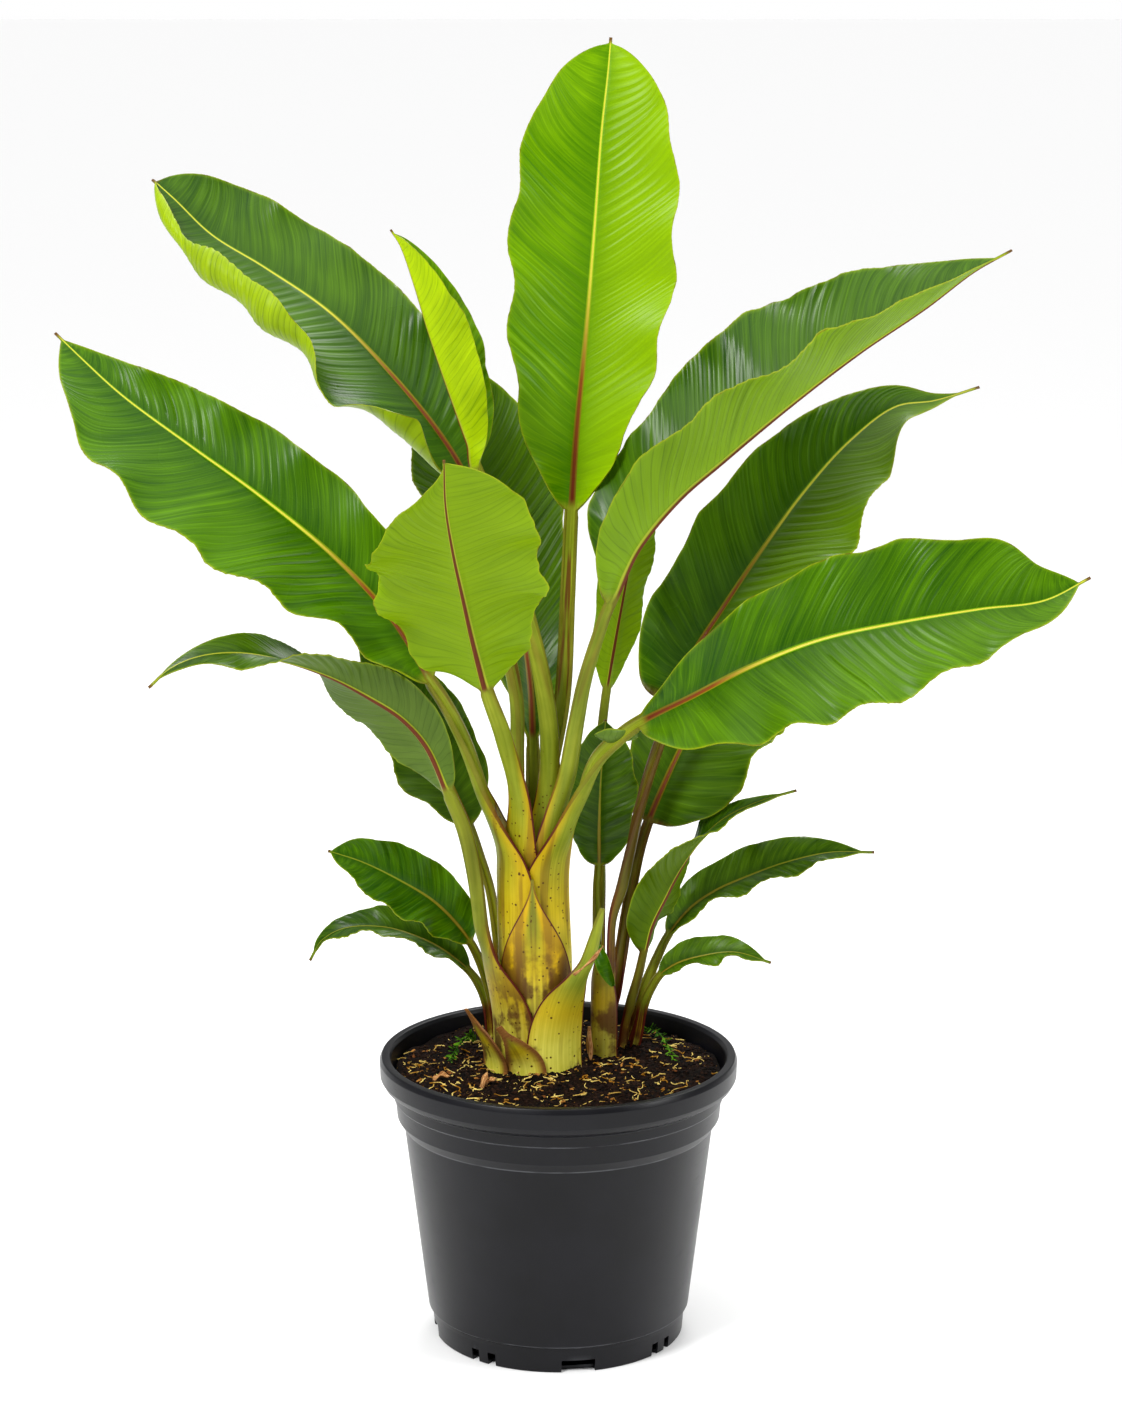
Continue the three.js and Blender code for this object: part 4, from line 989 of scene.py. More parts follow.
# %% Leaves of the thick stem
stem_leaves = [
    dict(
        name="leaf_left_droop", finish="dark", tail=0.03, rust=0.8, gold=0.55,
        layer=3, azimuth=200, wrap=(66, 50), sheath_heights=(FOOT, 250), sheath_runs=2,
        stalk=[(-56, 10, 297), (-59, 6, 330), (-65, 0, 372), (-73, -7, 408)],
        blade=[(-84, -8, 435), (-101, -12, 474), (-120, -22, 498), (-142, -30, 515), (-171, -38, 533),
               (-201, -44, 545), (-237, -52, 553), (-267, -56, 551), (-289, -58, 542),
               (-305, -60, 528)],
        face=[(0.1, 0.8, 0.4), (-0.1, 0.9, 0.4), (0, 0.45, 0.9), (0, -0.6, 0.8), (0, -0.7, 0.7)],
        half=(28, 38), outline=dict(widest=0.5, tip=1.9, tip_round=1),
        outline_right=dict(widest=0.42, tip=1.5, tip_round=1.3),
        fold=(14, 12, 12), waves=(4, 3, 0),
    ),
    dict(
        name="sheath_front_old", finish="sheath", rust=1.0, gold=1.5,
        layer=4, azimuth=266, wrap=(62, 62), opening=4, sheath_heights=(FOOT, 280, 366),
        stalk_half_width=1,
    ),
    dict(
        name="leaf_left", finish="mid", tail=0.018, rust=0.3, gold=0.75,
        layer=5, azimuth=190, wrap=(85, 88), opening=8, sheath_heights=(FOOT, 290, 360), sheath_runs=3,
        stalk=[(-46, 18, 384), (-51, 13, 412), (-58, 6, 436), (-72, -6, 477), (-87, -13, 508)],
        blade=[(-97, -16, 524), (-126, -16, 572), (-169, -8, 618), (-225, 2, 663), (-276, 14, 698),
               (-331, 30, 736), (-363, 42, 763), (-383, 50, 781)],
        face=[(0.5, -0.75, 0.4), (0.4, -0.8, 0.5), (0.35, -0.8, 0.5)],
        half=(82, 50), outline=dict(widest=0.5, tip=2.7, tip_round=0.95),
        outline_right=dict(widest=0.5, tip=2, tip_round=1),
        fold=(24, 10, 8), cup=((10, 6, 10), (10, 6, 10)), waves=(6, 4, 1.5), fine_cells=18,
    ),
    dict(
        name="leaf_right_low", finish="mid", tail=0.025, painted_light=(0, 0.08), rust=0.2, gold=0.8,
        layer=6, azimuth=310, wrap=(76, 88), sheath_heights=(FOOT, 290, 370), sheath_runs=2,
        stalk_half_width=6,
        stalk=[(6, -6, 405), (17, -12, 438), (29, -20, 464), (45, -28, 482)],
        blade=[(60, -35, 495), (99, -48, 518), (142, -62, 544), (193, -74, 567), (251, -84, 582),
               (309, -90, 593), (355, -94, 600), (388, -94, 617)],
        face=[(-0.3, -0.8, 0.5), (-0.25, -0.85, 0.45), (-0.25, -0.85, 0.45)],
        half=(58, 72), outline=dict(widest=0.6, base=1.7, base_round=0.8, tip=3, tip_round=0.85),
        outline_right=dict(widest=0.35, base=2, base_round=0.6, tip=1.8, tip_round=0.9),
        fold=(26, 10, 8), cup=((10, 6, 8), (10, 6, 8)), waves=(6, 4, 0), fine_cells=18,
    ),
    dict(
        name="leaf_front_round", finish="pale", rumple=2.4, rust=0.6, gold=0.8,
        layer=7, azimuth=232, wrap=(60, 60), sheath_heights=(FOOT, 300, 380), sheath_runs=2,
        stalk=[(-31, 2, 427), (-41, -14, 478)],
        blade=[(-54, -32, 520), (-63, -58, 562), (-70, -86, 603), (-76, -116, 641), (-80, -146, 679),
               (-80, -172, 714)],
        face=[(0.1, 0.85, 0.45), (0.1, 0.8, 0.6), (0, 0.7, 0.75)],
        half=(64, 66), outline=dict(widest=0.66, base=2, base_round=0.6, tip=2.6, tip_round=0.6),
        outline_right=dict(widest=0.5, base=2.2, base_round=0.55, tip=2.2, tip_round=1.9),
        fold=(10, 4, 4), cup=((-6, -10, -8), (-6, -10, -8)), waves=(4, 5, 0.4), fine_cells=18,
    ),
    dict(
        name="leaf_right_high", finish="gloss", tail=0.03, rumple=1.7, rust=0.4, gold=0.8,
        layer=8, azimuth=305, wrap=(70, 85), sheath_heights=(FOOT, 300, 360), sheath_runs=2,
        stalk_half_width=6.5,
        stalk=[(-1, 6, 415), (7, 4, 449), (13, 0, 488), (19, -3, 522), (30, -6, 561)],
        blade=[(38, -8, 583), (61, -10, 627), (91, -12, 664), (121, -10, 690), (173, -6, 733),
               (225, 0, 772), (274, 8, 804), (311, 14, 831), (339, 18, 846)],
        face=[(-0.6, 0.1, 0.8), (-0.45, -0.1, 0.9), (-0.35, -0.1, 0.9)],
        half=(84, 58), outline=dict(widest=0.5, base=2, base_round=0.5, tip=2.4, tip_round=1.15),
        outline_right=dict(widest=0.4, base=2, base_round=0.5, tip=2, tip_round=1.2),
        fold=(48, 42, 30), cup=((14, 10, 10), (14, 10, 10)), waves=(5, 5, 0), fine_cells=18,
    ),
    dict(
        name="leaf_unfurling", finish="fresh", rust=0.45, gold=0.8,
        layer=9, azimuth=262, wrap=(85, 64), sheath_heights=(FOOT, 300, 360), sheath_runs=2,
        stalk_half_width=6.5,
        stalk=[(-9, 13, 425), (-7, 13, 472), (-11, 12, 511), (-18, 9, 551), (-29, 3, 599),
               (-45, -5, 653)],
        blade=[(-60, -10, 685), (-79, -16, 738), (-95, -20, 786), (-107, -24, 827), (-116, -26, 853),
               (-123, -27, 864)],
        face=[(0.9, -0.1, 0.3), (0.95, 0, 0.3), (0.95, 0, 0.3)],
        half=(32, 36), outline=dict(widest=0.5, base=1.8, base_round=0.7, tip=2, tip_round=1),
        fold=(74, 66, 60), cup=((20, 16, 10), (20, 16, 10)), waves=(3, 3, 0),
    ),
    dict(
        name="leaf_back", finish="dark", rust=0.6, gold=0.5,
        layer=10, azimuth=78, wrap=(75, 75), sheath_heights=(FOOT, 300, 380), sheath_runs=1,
        stalk_half_width=5,
        stalk=[(-19, 39, 430)],
        blade=[(-20, 44, 462), (-22, 62, 505), (-30, 88, 555), (-44, 114, 604), (-62, 138, 657),
               (-81, 158, 712), (-98, 174, 763)],
        face=[(0.1, -0.9, 0.35), (0.25, -0.8, 0.5), (0.3, -0.75, 0.55)],
        half=(60, 58), outline=dict(widest=0.62, base=1.4, base_round=0.8),
        fold=(14, 10, 10), waves=(4, 4, 1), fine_cells=16,
    ),
    dict(
        name="leaf_upper_left", finish="rolled", tail=0.01, rust=0.5, gold=0.7,
        layer=11, azimuth=172, wrap=(60, 50), sheath_heights=(FOOT, 300, 380), sheath_runs=1,
        stalk=[(-30, 26, 452), (-31, 29, 500), (-40, 35, 546), (-53, 46, 607)],
        blade=[(-71, 60, 667), (-91, 70, 700), (-129, 88, 745), (-177, 108, 791), (-229, 130, 824),
               (-273, 148, 849), (-302, 160, 875), (-320, 168, 890)],
        face=[(0.45, -0.7, 0.55), (0.4, -0.7, 0.6), (0.3, -0.75, 0.6)],
        half=(106, 56), outline=dict(widest=0.42, base=2.4, base_round=0.5, tip=2.2, tip_round=0.8),
        outline_right=dict(widest=0.5, tip=4.6, tip_round=0.62),
        fold=(24, 8, 6), cup=((10, 6, 6), (8, 8, 8)),
        curl=((60, 120, 10, 80, 150, 190, 205, 210, 200), (0,) * 9), curl_power=3.8, waves=(5, 4, 2),
        fine_cells=24,
    ),
    dict(
        name="leaf_upright", finish="fresh", tail=0.014, rumple=0.8, painted_light=(0.05, 0.85), rust=0.55,
        gold=0.5,
        layer=13, azimuth=65, wrap=(80, 80), sheath_heights=(FOOT, 300, 380), sheath_runs=1,
        stalk=[(-8, 28, 440), (3, 27, 502), (7, 30, 578)],
        blade=[(10, 38, 645), (14, 46, 707), (22, 58, 790), (28, 70, 865), (33, 82, 932), (38, 92, 977),
               (40, 98, 1001)],
        face=[(-0.15, -1, 0.1), (0.05, -1, 0.2), (0, -1, 0.3)],
        half=(65, 63), outline=dict(widest=0.58, base=2.2, base_round=0.65, tip=2.7, tip_round=0.62),
        fold=(22, 8, 6), cup=((14, 10, 16), (14, 10, 16)), waves=(5, 2.4, 0.6), fine_cells=18,
    ),
]
print("leaves of the thick stem:", len(stem_leaves))

# %% Sheaths without a blade
foot_sheaths = [
    dict(
        name="scale_left", finish="dried",
        layer=0, azimuth=214, wrap=(22, 22), opening=2, sheath_heights=(FOOT, 220), sheath_runs=2,
        stalk_half_width=1, stalk_depth=1.4,
        stalk=[(-58, -6, 240), (-71, -12, 264)],
        fine_cells=10,
    ),
    dict(
        name="scale_front", finish="dried",
        layer=1, azimuth=252, wrap=(26, 20), opening=2, sheath_heights=(FOOT, 218), sheath_runs=2,
        stalk_half_width=1, stalk_depth=1.4,
        stalk=[(-34, -18, 234), (-46, -20, 252)],
        fine_cells=10,
    ),
    dict(
        name="sheath_front_right", finish="sheath", rust=0.35, gold=0.3,
        layer=2, azimuth=296, wrap=(34, 40), sheath_heights=(FOOT, 235), sheath_runs=3,
        stalk_half_width=4.5, stalk_depth=5,
        stalk=[(5, -9, 262), (14, -9, 284), (23, -7, 302), (29, -4, 321), (34, -2, 342)],
    ),
]
print("sheaths without a blade:", len(foot_sheaths))

# %% Leaves of the smaller shoots
THIN_SHOOT = dict(
    ring=3, wrap=(70, 70), gold=0.3, sheath_runs=1, stalk_half_width=3, stalk_depth=4.5, fine_cells=10)
ON_SUCKER = dict(foot=SUCKER_BASE, lean=STRAIGHT)
shoot_leaves = [
    dict(
        name="sucker_sheath", finish="sheath", rust=0.9, gold=0.1,
        ring=10, azimuth=250, wrap=(75, 75), opening=5, sheath_heights=(FOOT, 250, 302),
        stalk_half_width=3, **ON_SUCKER,
        fine_cells=10,
    ),
    dict(
        name="leaf_right_middle", finish="gloss", tail=0.03, painted_light=(0, 0.3), rust=1.1, gold=0.5,
        ring=6, azimuth=330, wrap=(55, 55), sheath_heights=(FOOT, 280), sheath_runs=2,
        stalk_half_width=4.5, stalk_depth=6, **ON_SUCKER,
        stalk=[(43, 36, 325), (49, 36, 351), (60, 37, 403), (71, 39, 441), (80, 41, 468)],
        blade=[(88, 44, 493), (102, 50, 527), (129, 58, 569), (158, 68, 611), (192, 80, 656),
               (227, 92, 693), (263, 104, 718), (295, 112, 722), (330, 118, 732)],
        face=[(-0.5, -0.8, 0.3), (-0.45, -0.8, 0.4), (-0.3, -0.8, 0.5), (-0.1, -0.7, 0.7)],
        half=(55, 68), outline=dict(widest=0.42, base_round=0.3, tip=2.1, tip_round=1.5),
        outline_right=dict(widest=0.5, tip=1.8, tip_round=1.8),
        fold=(20, 10, 8), waves=(5, 4, 0.8), fine_cells=16,
    ),
    dict(
        name="leaf_right_behind", finish="dark", rust=1.1, gold=0.5,
        ring=6, azimuth=75, wrap=(40, 40), sheath_heights=(FOOT, 235), sheath_runs=2,
        stalk_half_width=4, stalk_depth=5, **ON_SUCKER,
        stalk=[(45, 48, 258), (50, 50, 293), (56, 54, 333), (64, 60, 372)],
        blade=[(71, 65, 394), (83, 72, 422), (99, 84, 454), (122, 100, 493), (148, 118, 534),
               (173, 134, 572)],
        face=[(-0.3, -0.85, 0.3), (-0.3, -0.85, 0.3)],
        half=(38, 70), outline=dict(widest=0.4, base_round=0.35),
        fold=(18, 10, 8), waves=(3, 3, 0),
    ),
    dict(
        name="leaf_small_ovate", finish="dark", rust=0.7, gold=0.3,
        ring=6, azimuth=160, wrap=(38, 38), sheath_heights=(FOOT, 240), sheath_runs=1,
        stalk_half_width=3.2, stalk_depth=4.5, **ON_SUCKER,
        stalk=[(31, 45, 302), (31, 50, 345)],
        blade=[(32, 52, 362), (32, 54, 392), (33, 57, 425), (35, 60, 454), (37, 63, 477)],
        face=[(0, -1, 0.1), (0, -1, 0.2)],
        half=(28, 29), outline=dict(widest=0.55, base_round=0.5, tip=2, tip_round=0.8),
        fold=(14, 8, 8), waves=(3, 2, 0), fine_cells=12,
    ),
    dict(
        name="leaf_pale_behind", finish="pale", rust=0.7,
        foot=BACK_SHOOT_BASE, lean=STRAIGHT, azimuth=270, sheath_heights=(FOOT, 230), **THIN_SHOOT,
        stalk=[(33, 66, 347), (32, 72, 410), (34, 80, 461)],
        blade=[(38, 86, 496), (46, 94, 543), (54, 102, 585), (63, 112, 631), (71, 122, 674),
               (75, 132, 712)],
        face=[(-0.1, 1, 0.1), (-0.1, 1, 0)],
        half=(19, 21), outline=dict(widest=0.42, tip=2, tip_round=1),
        fold=(10, 8, 8), waves=(4, 2, 0),
    ),
    dict(
        # Its finish is painted shade, a darker green.
        name="leaf_small_curled", finish="dull", tail=0.04, rust=1.1,
        foot=(50, 55), lean=(0.1, 0), azimuth=302, sheath_heights=(FOOT, 225), **THIN_SHOOT,
        stalk=[(57, 50, 250), (63, 46, 274)],
        blade=[(67, 43, 294), (72, 40, 317), (83, 36, 342), (95, 33, 367), (110, 31, 389),
               (132, 30, 408), (161, 30, 421), (185, 30, 428)],
        face=[(-0.5, 0.8, 0.4), (-0.5, 0.7, 0.6), (-0.3, -0.3, 0.9), (-0.2, -0.6, 0.8)],
        half=(22, 26), outline=dict(widest=0.35, tip=1.6, tip_round=1.2),
        fold=(14, 14, 14), waves=(4, 2, 0),
    ),
    dict(
        name="leaf_small_right", finish="dark", tail=0.04, rust=0.7,
        foot=(52, 60), lean=(0.3, 0), azimuth=75, sheath_heights=(FOOT, 225), **THIN_SHOOT,
        stalk=[(68, 60, 258), (78, 59, 284)],
        blade=[(87, 59, 303), (104, 60, 325), (124, 62, 339), (148, 66, 349), (180, 70, 360),
               (215, 74, 367), (251, 78, 366)],
        face=[(-0.3, -0.7, 0.6), (-0.2, -0.75, 0.65), (0, -0.75, 0.65)],
        half=(22, 15), outline=dict(widest=0.5, tip=2, tip_round=1.2),
        fold=(20, 14, 14), waves=(4, 2.5, 0),
    ),
    dict(
        name="leaf_small_lowest", finish="dark", tail=0.04, rust=0.7,
        foot=(60, 49), lean=(0.2, -0.2), azimuth=75, sheath_heights=(FOOT, 225), **THIN_SHOOT,
        stalk=[(68, 46, 252), (74, 43, 266)],
        blade=[(80, 40, 276), (92, 34, 287), (111, 28, 295), (138, 22, 300), (166, 16, 293)],
        face=[(-0.3, -0.7, 0.7), (-0.1, -0.7, 0.7)],
        half=(15, 11), outline=dict(widest=0.45, tip=1.8, tip_round=1),
        fold=(18, 14, 14), waves=(3, 2, 0),
    ),
    dict(
        name="leaf_left_behind", finish="dark", rust=0.7,
        foot=(-41, 56), lean=(-0.04, 0), azimuth=122, sheath_heights=(FOOT, 230), **THIN_SHOOT,
        stalk=[(-48, 58, 299), (-54, 59, 340), (-62, 60, 368)],
        blade=[(-70, 62, 392), (-85, 68, 425), (-105, 76, 462), (-123, 86, 492), (-141, 96, 516),
               (-160, 104, 531)],
        face=[(0.4, -0.85, 0.3), (0.4, -0.85, 0.35)],
        half=(42, 36), outline=dict(widest=0.42),
        fold=(16, 10, 8), waves=(3, 3, 0),
    ),
    dict(
        name="leaf_left_lower", finish="mid", rust=0.7,
        foot=(-48, 62), lean=(-0.04, 0), azimuth=115, sheath_heights=(FOOT, 225), **THIN_SHOOT,
        stalk=[(-53, 63, 250), (-58, 62, 268), (-64, 60, 285)],
        blade=[(-70, 57, 298), (-81, 53, 315), (-99, 47, 335), (-124, 40, 353), (-153, 32, 370),
               (-179, 24, 381)],
        face=[(0.35, -0.8, 0.4), (0.3, -0.8, 0.5)],
        half=(28, 27), outline=dict(widest=0.5, tip=2.4, tip_round=0.8),
        fold=(16, 10, 8), waves=(4, 2.5, 0),
    ),
    dict(
        name="leaf_left_lowest", finish="dark", tail=0.04, rust=0.7,
        foot=(-54, 70), lean=(-0.04, 0), azimuth=105, sheath_heights=(FOOT, 225), **THIN_SHOOT,
        stalk=[(-58, 73, 245), (-64, 73, 259)],
        blade=[(-72, 74, 270), (-91, 76, 286), (-112, 80, 296), (-139, 84, 303), (-171, 88, 301),
               (-190, 90, 290), (-200, 90, 273)],
        face=[(0.2, -0.5, 0.8), (0.1, -0.4, 0.9), (0, -0.5, 0.8)],
        half=(19, 19), outline=dict(widest=0.4, tip=1.8, tip_round=1),
        fold=(20, 16, 16), waves=(4, 2.5, 0),
    ),
]
print("leaves of the smaller shoots:", len(shoot_leaves))

for leaf in foot_sheaths + stem_leaves + shoot_leaves:
    mesh = leaf_mesh(leaf)
    mesh.materials.append(leaf_finishes[leaf["finish"]])
    piece = add_object(leaf["name"] + "_fine", mesh)
    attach(piece, "root")
    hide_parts(leaf["name"])
    print(leaf["name"], "faces:", len(mesh.polygons))

# %% [markdown]
# ## Pot
#
# The pot is blow-moulded from thin black plastic: one wall that turns about one axis, with a rolled
# rim, a collar, and a foot that has drain notches cut in it. It could be modelled with a Screw or a
# Spin, but Geometry Nodes keeps each step in sight. The outline is drawn once, its corners are rounded
# as a mould rounds them, it is swept round a circle, and a ring of boxes cuts the notches.

# %% Pot outline
POT_OUTSIDE = ((98, 0), (99.6, 20), (102.6, 22), (120.6, 169), (126, 177), (127.4, 191), (128.6, 192),
               (129, 200), (136.5, 204.5), (139, 209), (139.5, 221), (137.8, 225))
POT_INSIDE = ((132, 225), (130.4, 222), (126, 194), (123.6, 176), (117.9, 166), (100, 20), (96.6, 3))
POT_BASE = 3
HUB = 0.01
CORNER_RADIUS = 1.3
POT_SEGMENTS = 256


def line_mesh(name, points):
    """An open line of edges through points in millimetres, for a node tree to build on."""
    mesh = bpy.data.meshes.new(name)
    edges = [(number, number + 1) for number in range(len(points) - 1)]
    mesh.from_pydata([(x * MM, y * MM, z * MM) for x, y, z in points], edges, [])
    return mesh


pot_rows = [(HUB, 0), *POT_OUTSIDE, *POT_INSIDE, (HUB, POT_BASE)]
pot_outline = line_mesh("pot outline", [(radius - HUB, -height, 0) for radius, height in pot_rows])
print("outline points:", len(pot_outline.vertices))

# %% Helpers for Geometry Nodes
GEOMETRY = "NodeSocketGeometry"
MATERIAL = "NodeSocketMaterial"
WHOLE = "NodeSocketInt"


def geometry_tree(name, inputs):
    """A Geometry Nodes tree with a mesh in, a mesh out and named values."""
    return new_group(name, dict(Mesh=GEOMETRY, **inputs), dict(Mesh=GEOMETRY), "GeometryNodeTree")


def random_value(tree, kind, low, high, seed):
    """A random number, or three of them, for each element. Kind is FLOAT or FLOAT_VECTOR."""
    made = tree.nodes.new("FunctionNodeRandomValue")
    made.data_type = kind
    first = 0 if kind == "FLOAT_VECTOR" else 2
    put(tree, made.inputs[first], low)
    put(tree, made.inputs[first + 1], high)
    put(tree, made.inputs["Seed"], seed)
    return Value(made.outputs[0 if kind == "FLOAT_VECTOR" else 1])


def finish_tree(tree, out, geometry, material):
    """Every tree ends alike: real geometry, with its material."""
    real = field(tree, "GeometryNodeRealizeInstances", {0: geometry})
    painted = field(tree, "GeometryNodeSetMaterial", {"Geometry": real, "Material": material})
    put(tree, out.inputs[0], painted)


def bake(name, mesh, tree, values, sharp=None):
    """Runs a node tree on a mesh and keeps its result as a plain object."""
    source = add_object(name + "_source", mesh)
    modifier = source.modifiers.new("shape", "NODES")
    modifier.node_group = tree
    for item in tree.interface.items_tree:
        if item.in_out == "INPUT" and item.name in values:
            modifier[item.identifier] = values[item.name]
    evaluated = source.evaluated_get(bpy.context.evaluated_depsgraph_get())
    made = bpy.data.meshes.new_from_object(evaluated)
    bpy.data.objects.remove(source)
    made.name = name
    if sharp is not None:
        made.shade_smooth()
        made.set_sharp_from_angle(angle=math.radians(sharp))
    print(name, "faces:", len(made.polygons))
    return add_object(name, made)


# %% Pot tree
NOTCH_HEIGHT = 10
NOTCH_REACH = 14
NOTCH_RADIUS = 98
NOTCH_FIRST = -81
# Count, how many stand at one place, turn in degrees, width: the wide notches, then the narrow pairs
NOTCHES = ((4, 1, 0, 26), (8, 2, 45, 7))
PAIR_SPREAD = 4.5


def notch_cutters(tree, count, at_once, turn, width):
    """Boxes on a circle, one or two at each quarter."""
    spots = field(tree, "GeometryNodePoints", {"Count": count})
    number = field(tree, "GeometryNodeInputIndex")
    quarter = calc(tree, "FLOOR", number / float(at_once))
    pair = calc(tree, "MODULO", number, float(at_once)) - (at_once - 1) / 2
    angle = quarter * (math.pi / 2) + math.radians(NOTCH_FIRST + turn)
    angle = angle + pair * (2 * math.radians(PAIR_SPREAD))
    x = calc(tree, "COSINE", angle) * (NOTCH_RADIUS * MM)
    y = calc(tree, "SINE", angle) * (NOTCH_RADIUS * MM)
    placed = field(tree, "GeometryNodeSetPosition", {"Geometry": spots, "Position": vector_of(tree, x, y)})
    size = (NOTCH_REACH * MM, width * MM, 2 * NOTCH_HEIGHT * MM)
    box = field(tree, "GeometryNodeMeshCube", {"Size": size})
    given = {"Points": placed, "Instance": box, "Rotation": vector_of(tree, 0.0, 0.0, angle)}
    cutters = field(tree, "GeometryNodeInstanceOnPoints", given)
    return field(tree, "GeometryNodeRealizeInstances", {0: cutters})


def make_pot_tree():
    tree, given, out = geometry_tree(
        "moulded pot", dict(Corner_Radius=NUMBER, Segments=WHOLE, Material=MATERIAL))
    outline = field(tree, "GeometryNodeMeshToCurve", {0: given.outputs["Mesh"]})
    inputs = {"Curve": outline, "Radius": given.outputs["Corner Radius"], "Count": 4, "Limit Radius": True}
    rounded = field(tree, "GeometryNodeFilletCurve", inputs, mode="POLY")
    inputs = {"Resolution": given.outputs["Segments"], "Radius": HUB * MM}
    circle = field(tree, "GeometryNodeCurvePrimitiveCircle", inputs)
    swept = field(tree, "GeometryNodeCurveToMesh", {"Curve": circle, "Profile Curve": rounded})
    inputs = {"Geometry": swept, "Distance": 2.5 * HUB * MM}
    closed = field(tree, "GeometryNodeMergeByDistance", inputs)
    outward = field(tree, "GeometryNodeFlipFaces", {"Mesh": closed})
    cut = node(tree, "GeometryNodeMeshBoolean", {"Mesh 1": outward}, operation="DIFFERENCE")
    for count, at_once, turn, width in NOTCHES:
        put(tree, cut.inputs["Mesh 2"], notch_cutters(tree, count, at_once, turn, width))
    finish_tree(tree, out, cut.outputs["Mesh"], given.outputs["Material"])
    return tree


# %% [markdown]
# ## Pot plastic
#
# The plastic is charcoal, a little blue, and satin. It is slightly cloudy and carries fine rubbed marks.
# Its convex edges are painted paler in patches, a painted highlight, and thin pale lines along the steps
# of the rim, the collar and the foot are painted highlights too.

# %% Pot finish
COLLAR_STEP = 0.1695
COLLAR_LINE = 0.1915
FOOT_STEP = 0.0218
RUB_STRETCH = (60, 60, 900)


def pot_material():
    material, tree, shader = new_material("pot plastic")
    place = object_place(tree)
    clouds = effect(tree, MOTTLE, Vector=place, Scale=16.0)
    color = blend(tree, clouds, srgb(8, 8, 12), srgb(15, 15, 20))
    height = Value(node(tree, "ShaderNodeSeparateXYZ", {0: place}).outputs[2])
    # Painted highlight: a thin pale line along each ledge of the rim, the collar and the foot, broken into
    # patches.
    for step in (COLLAR_STEP, COLLAR_LINE, FOOT_STEP):
        off = calc(tree, "ABSOLUTE", height - step)
        ledge_highlight = fade(tree, off, 0.0009, 0.0003) * fade(tree, noise(tree, place, 30.0), 0.35, 0.6)
        color = blend(tree, ledge_highlight * 0.5, color, srgb(96, 98, 102))
    # Painted highlight: convex edges, found by their pointiness, are painted paler in patches.
    edge = node(tree, "ShaderNodeNewGeometry").outputs["Pointiness"]
    worn = fade(tree, edge, 0.53, 0.58) * fade(tree, noise(tree, place, 55.0), 0.4, 0.6)
    color = blend(tree, worn * 0.5, color, srgb(92, 94, 98))
    put(tree, shader.inputs["Base Color"], color)
    grain = noise(tree, place, 1100.0, 2.0)
    rubbed = noise(tree, vector_calc(tree, "MULTIPLY", place, RUB_STRETCH), 1.0)
    rough = clouds * 0.06 + 0.3 + fade(tree, rubbed, 0.6, 0.75) * 0.08
    put(tree, shader.inputs["Roughness"], rough)
    shader.inputs["Specular IOR Level"].default_value = 0.22
    add_bump(tree, shader, grain, 0.15, 0.0003)
    return material


# %% Make the pot
def settle(piece, node_name):
    """Every piece rides on the one body. One that stands for a solid hides that solid."""
    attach(piece, "root")
    if node_name:
        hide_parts(node_name)


values = {"Corner Radius": CORNER_RADIUS * MM, "Segments": POT_SEGMENTS, "Material": pot_material()}
pot = bake("pot_moulded", pot_outline, make_pot_tree(), values, sharp=40)
settle(pot, "pot")
low = [min(vertex.co[axis] for vertex in pot.data.vertices) for axis in range(3)]
high = [max(vertex.co[axis] for vertex in pot.data.vertices) for axis in range(3)]
print("pot from", [round(value, 4) for value in low], "to", [round(value, 4) for value in high])

# %% [markdown]
# ## Soil
#
# Potting soil is a dark bed of crumbs with chips of bark and many pale straw fibres, which lie every
# way. The bed is a mesh, rippled as its solid is, with finer lumps on top. What lies on it repeats by
# the hundred, so Geometry Nodes scatters it: one crumb, one chip and one fibre, each turned, scaled and
# bent at random. The seeds are fixed, so the soil is the same each time.

# %% Soil bed
SOIL_RADIUS = 126.5
SOIL_RIPPLES = ((1.4, 0.059, 0.048, 1.3), (1.1, 0.137, 0.11, 0), (0.7, 0.192, -0.156, 1.6))
SOIL_FOOT = 196
SOIL_RINGS = 90
SOIL_SEGMENTS = 300
SOIL_TAPER = 0.94
SOIL_LUMP = 1.1
LUMP_SCALE = 0.11


